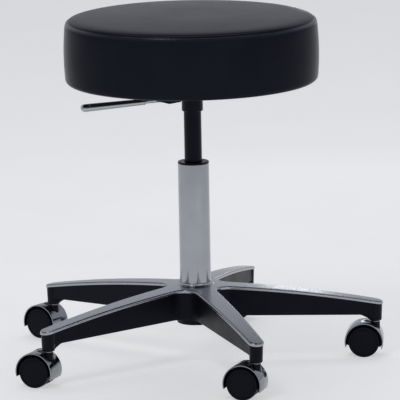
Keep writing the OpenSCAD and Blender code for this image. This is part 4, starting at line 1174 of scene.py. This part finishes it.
# %% Handle
pivot = np.array(joints["lever_tilt"]["pos_m"]) / MM
LEVER_AZ = math.atan2(pivot[1], pivot[0])
LEVER_DROOP = math.radians(3.6)
PIVOT_R = math.hypot(pivot[0], pivot[1])
HANDLE_START, HANDLE_END = 75.0, 180.0
HANDLE_W, HANDLE_T = 22.0, 12.6
IN_SHARE = 0.75
FLATTENING = 0.82
OUTER_END_LENGTH, INNER_END_LENGTH = HANDLE_T * 0.55, 2.0
END_NARROWING = 0.9 * HANDLE_T / HANDLE_W


def handle_grids():
    """Sections (w cos|cos|^(p-1), t sin|sin|^(p-1)) / 2 along the lever, with p = FLATTENING.

    Where s runs from 0 to 1 along it, both grow from IN_SHARE of their size, and at an end the thickness
    closes as sqrt(1 - (1 - e)^2), with e the share of the end's own length.
    """
    s = np.concatenate([[0, 0.002, 0.008, 0.02], np.linspace(0.04, 0.94, 16), [0.965, 0.983, 0.995, 1]])
    length = HANDLE_END - HANDLE_START
    width = HANDLE_W * (IN_SHARE + (1 - IN_SHARE) * s)
    thick = HANDLE_T * (IN_SHARE + (1 - IN_SHARE) * s)
    outer_end = np.clip((1 - s) * length / OUTER_END_LENGTH, 0, 1)
    inner_end = np.clip(s * length / INNER_END_LENGTH, 0, 1)
    close = np.sqrt(1 - (1 - outer_end) ** 2) * np.sqrt(1 - (1 - inner_end) ** 2)
    narrow = 1 - END_NARROWING * (1 - np.sqrt(1 - (1 - outer_end) ** 2))
    narrow = np.where(s == 1, 0, narrow) * np.where(s == 0, 0, 1)
    turn = np.linspace(0, 2 * math.pi, 49)
    c, n = np.cos(turn), np.sin(turn)
    y = np.sign(c) * np.abs(c) ** FLATTENING * (width * narrow)[:, None] / 2
    z = np.sign(n) * np.abs(n) ** FLATTENING * (thick * close)[:, None] / 2
    along = (HANDLE_START + length * s - PIVOT_R)[:, None] + 0 * y
    out = along * math.cos(LEVER_DROOP) + z * math.sin(LEVER_DROOP) + PIVOT_R
    up = pivot[2] - along * math.sin(LEVER_DROOP) + z * math.cos(LEVER_DROOP)
    return turned([np.stack([out, y, up], axis=-1)], LEVER_AZ)


make_piece("handle", handle_grids(), "lever", handle_chrome, ("lever_handle",), sharp=50)

# %% [markdown]
# ## Weld
# Under the seat the socket is welded to its plate. The bead ripples at each step of the torch, so its
# radius is a wave that runs round the ring. A plain ring would look moulded.

# %% Weld bead round the socket
SOCKET_R = CYLINDER_R + 3.0
PLATE_Z = box_mm("seat_plate")[0][2]
BEAD_R, BEAD_OFF = 1.9, 0.4
RIPPLE, RIPPLES = 0.25, 40


def weld_grid():
    """A bead in the corner of socket and plate, whose radius ripples as the torch moved.

    Its radius is BEAD_R + RIPPLE cos(RIPPLES a), and its top is cut off level with the plate.
    """
    turn = np.linspace(0, 2 * math.pi, 241)
    about = np.linspace(0, 2 * math.pi, 13)
    bead = BEAD_R + RIPPLE * np.cos(RIPPLES * turn)
    radius = SOCKET_R + BEAD_OFF + bead[:, None] * np.cos(about)
    height = PLATE_Z - BEAD_OFF + bead[:, None] * np.sin(about) * 0.9
    height = np.minimum(height, PLATE_Z - 0.02)
    return np.stack([radius * np.cos(turn)[:, None], radius * np.sin(turn)[:, None], height], axis=-1)


make_piece("socket_weld", [weld_grid()], "seat", black_enamel)

# %% [markdown]
# ## Finishes for the CAD parts that stay
# What remains of the CAD model is simple or small: the cylinder, the plate, pins, screws and races.
# These keep their meshes and only get a better material, by assigning to the object's slot.

# %% Finishes
finishes = {
    black_enamel: ["gas_cylinder", "taper_socket", "seat_plate", "lever_bracket", "lever_pivot"],
    ground_steel: ["grip_rings", "thrust_balls", "piston_rod", "release_pin"]
    + [f"caster_axle_{k}" for k in CASTERS],
    mild_steel: ["column_end_plate", "thrust_washer_lower", "thrust_washer_upper", "rod_clip"],
    zinc_plate: ["seat_screws", "t_nuts"],
    seal_rubber: ["rubber_bumper", "piston", "cylinder_seal"],
    handle_chrome: ["lever_rod"],
    birch_plywood: ["seat_board"],
    dust_cloth: ["dust_cover"],
}
for material, names in finishes.items():
    for name in names:
        slots = frame["nodes"][name].data.materials
        for i in range(len(slots)):
            slots[i] = material
print("CAD parts with a new finish:", sum(len(names) for names in finishes.values()))

# %% [markdown]
# ## Floor and light
# The stool stands on a plain pale floor in a quiet studio. Chrome and gloss show whatever surrounds
# them, so the room is drawn by height alone: a pale wall up to 30 degrees and a dark ceiling. The
# ceiling keeps the black parts black, and the wall gives the seat and the legs their grey sheen. Two
# soft boxes above add a highlight on the shoulder and the hub, a small low one behind lights one leg,
# and a broad one in front lights the stool from the right.

# %% Floor
floor_paint, tree, place = new_material("matt_floor_paint")
mottle = add(tree, "ShaderNodeTexNoise", {"Vector": place, "Scale": per_metre(180), "Detail": 3.0})
colour = add(tree, "ShaderNodeValToRGB", {"Fac": mottle.outputs["Fac"]}, (
    (LOW, "#dededd"), (HIGH, "#e3e3e2")))
shader = add(tree, "ShaderNodeBsdfPrincipled", {
    "Base Color": colour.outputs["Color"], "Roughness": 0.85, "Emission Color": linear("#f6f7f8"),
    "Emission Strength": 0.5})
add(tree, "ShaderNodeOutputMaterial", {"Surface": shader.outputs["BSDF"]})
FLOOR_HALF = 30.0
corners = [(x * FLOOR_HALF, y * FLOOR_HALF, 0) for x, y in ((-1, -1), (1, -1), (1, 1), (-1, 1))]
floor_mesh = bpy.data.meshes.new("floor")
floor_mesh.from_pydata(corners, [], [(0, 1, 2, 3)])
floor_mesh.materials.append(floor_paint)
studio_floor = bpy.data.objects.new("floor", floor_mesh)
bpy.context.scene.collection.objects.link(studio_floor)
print("floor of", round(2 * FLOOR_HALF), "m square")

# %% Light


def soft_box(name, place, aim, size, power):
    """A rectangular soft box at place, turned to aim, in metres and watts."""
    light = bpy.data.lights.new(name, "AREA")
    light.shape = "RECTANGLE"
    light.size, light.size_y = size
    light.energy = power
    box = bpy.data.objects.new(name, light)
    box.location = place
    box.rotation_euler = (Vector(aim) - Vector(place)).to_track_quat("-Z", "Y").to_euler()
    box.visible_camera = False
    bpy.context.scene.collection.objects.link(box)


soft_box("shoulder_box", (0.0, 1.3, 3.1), (0, 0, 0.4), (2.4, 1.0), 14)
soft_box("key_box", (-0.86, -1.23, 2.6), (0, 0, 0.2), (0.7, 0.7), 8)
soft_box("low_box", (0.315, 1.8, 0.476), (0.17, 0, 0.11), (0.16, 0.17), 0.24)
soft_box("front_box", (1.5, -2.3, 0.78), (0, 0, 0.15), (1.3, 0.5), 2.6)

# %% Room
studio = bpy.data.worlds.new("studio")
studio.use_nodes = True
tree = studio.node_tree
tree.nodes.clear()
direction = add(tree, "ShaderNodeTexCoord").outputs["Generated"]
height = add(tree, "ShaderNodeSeparateXYZ", {"Vector": direction})
# The ramp runs over the sine of the height above the horizon: 0.5 is 30 degrees and 0.64 is 40
room = add(tree, "ShaderNodeValToRGB", {"Fac": height.outputs["Z"]}, (
    (0.0, "#aeb0b8"), (0.1, "#bbbdc6"), (0.35, "#c2c4cd"), (0.5, "#c2c4cd"), (0.64, "#606269"),
    (1.0, "#585a60")))
sky = add(tree, "ShaderNodeBackground", {"Color": room.outputs["Color"], "Strength": 1.0})
add(tree, "ShaderNodeOutputWorld", {"Surface": sky.outputs["Background"]})
bpy.context.scene.world = studio
bpy.context.scene.view_settings.view_transform = "Standard"
print("room:", studio.name)
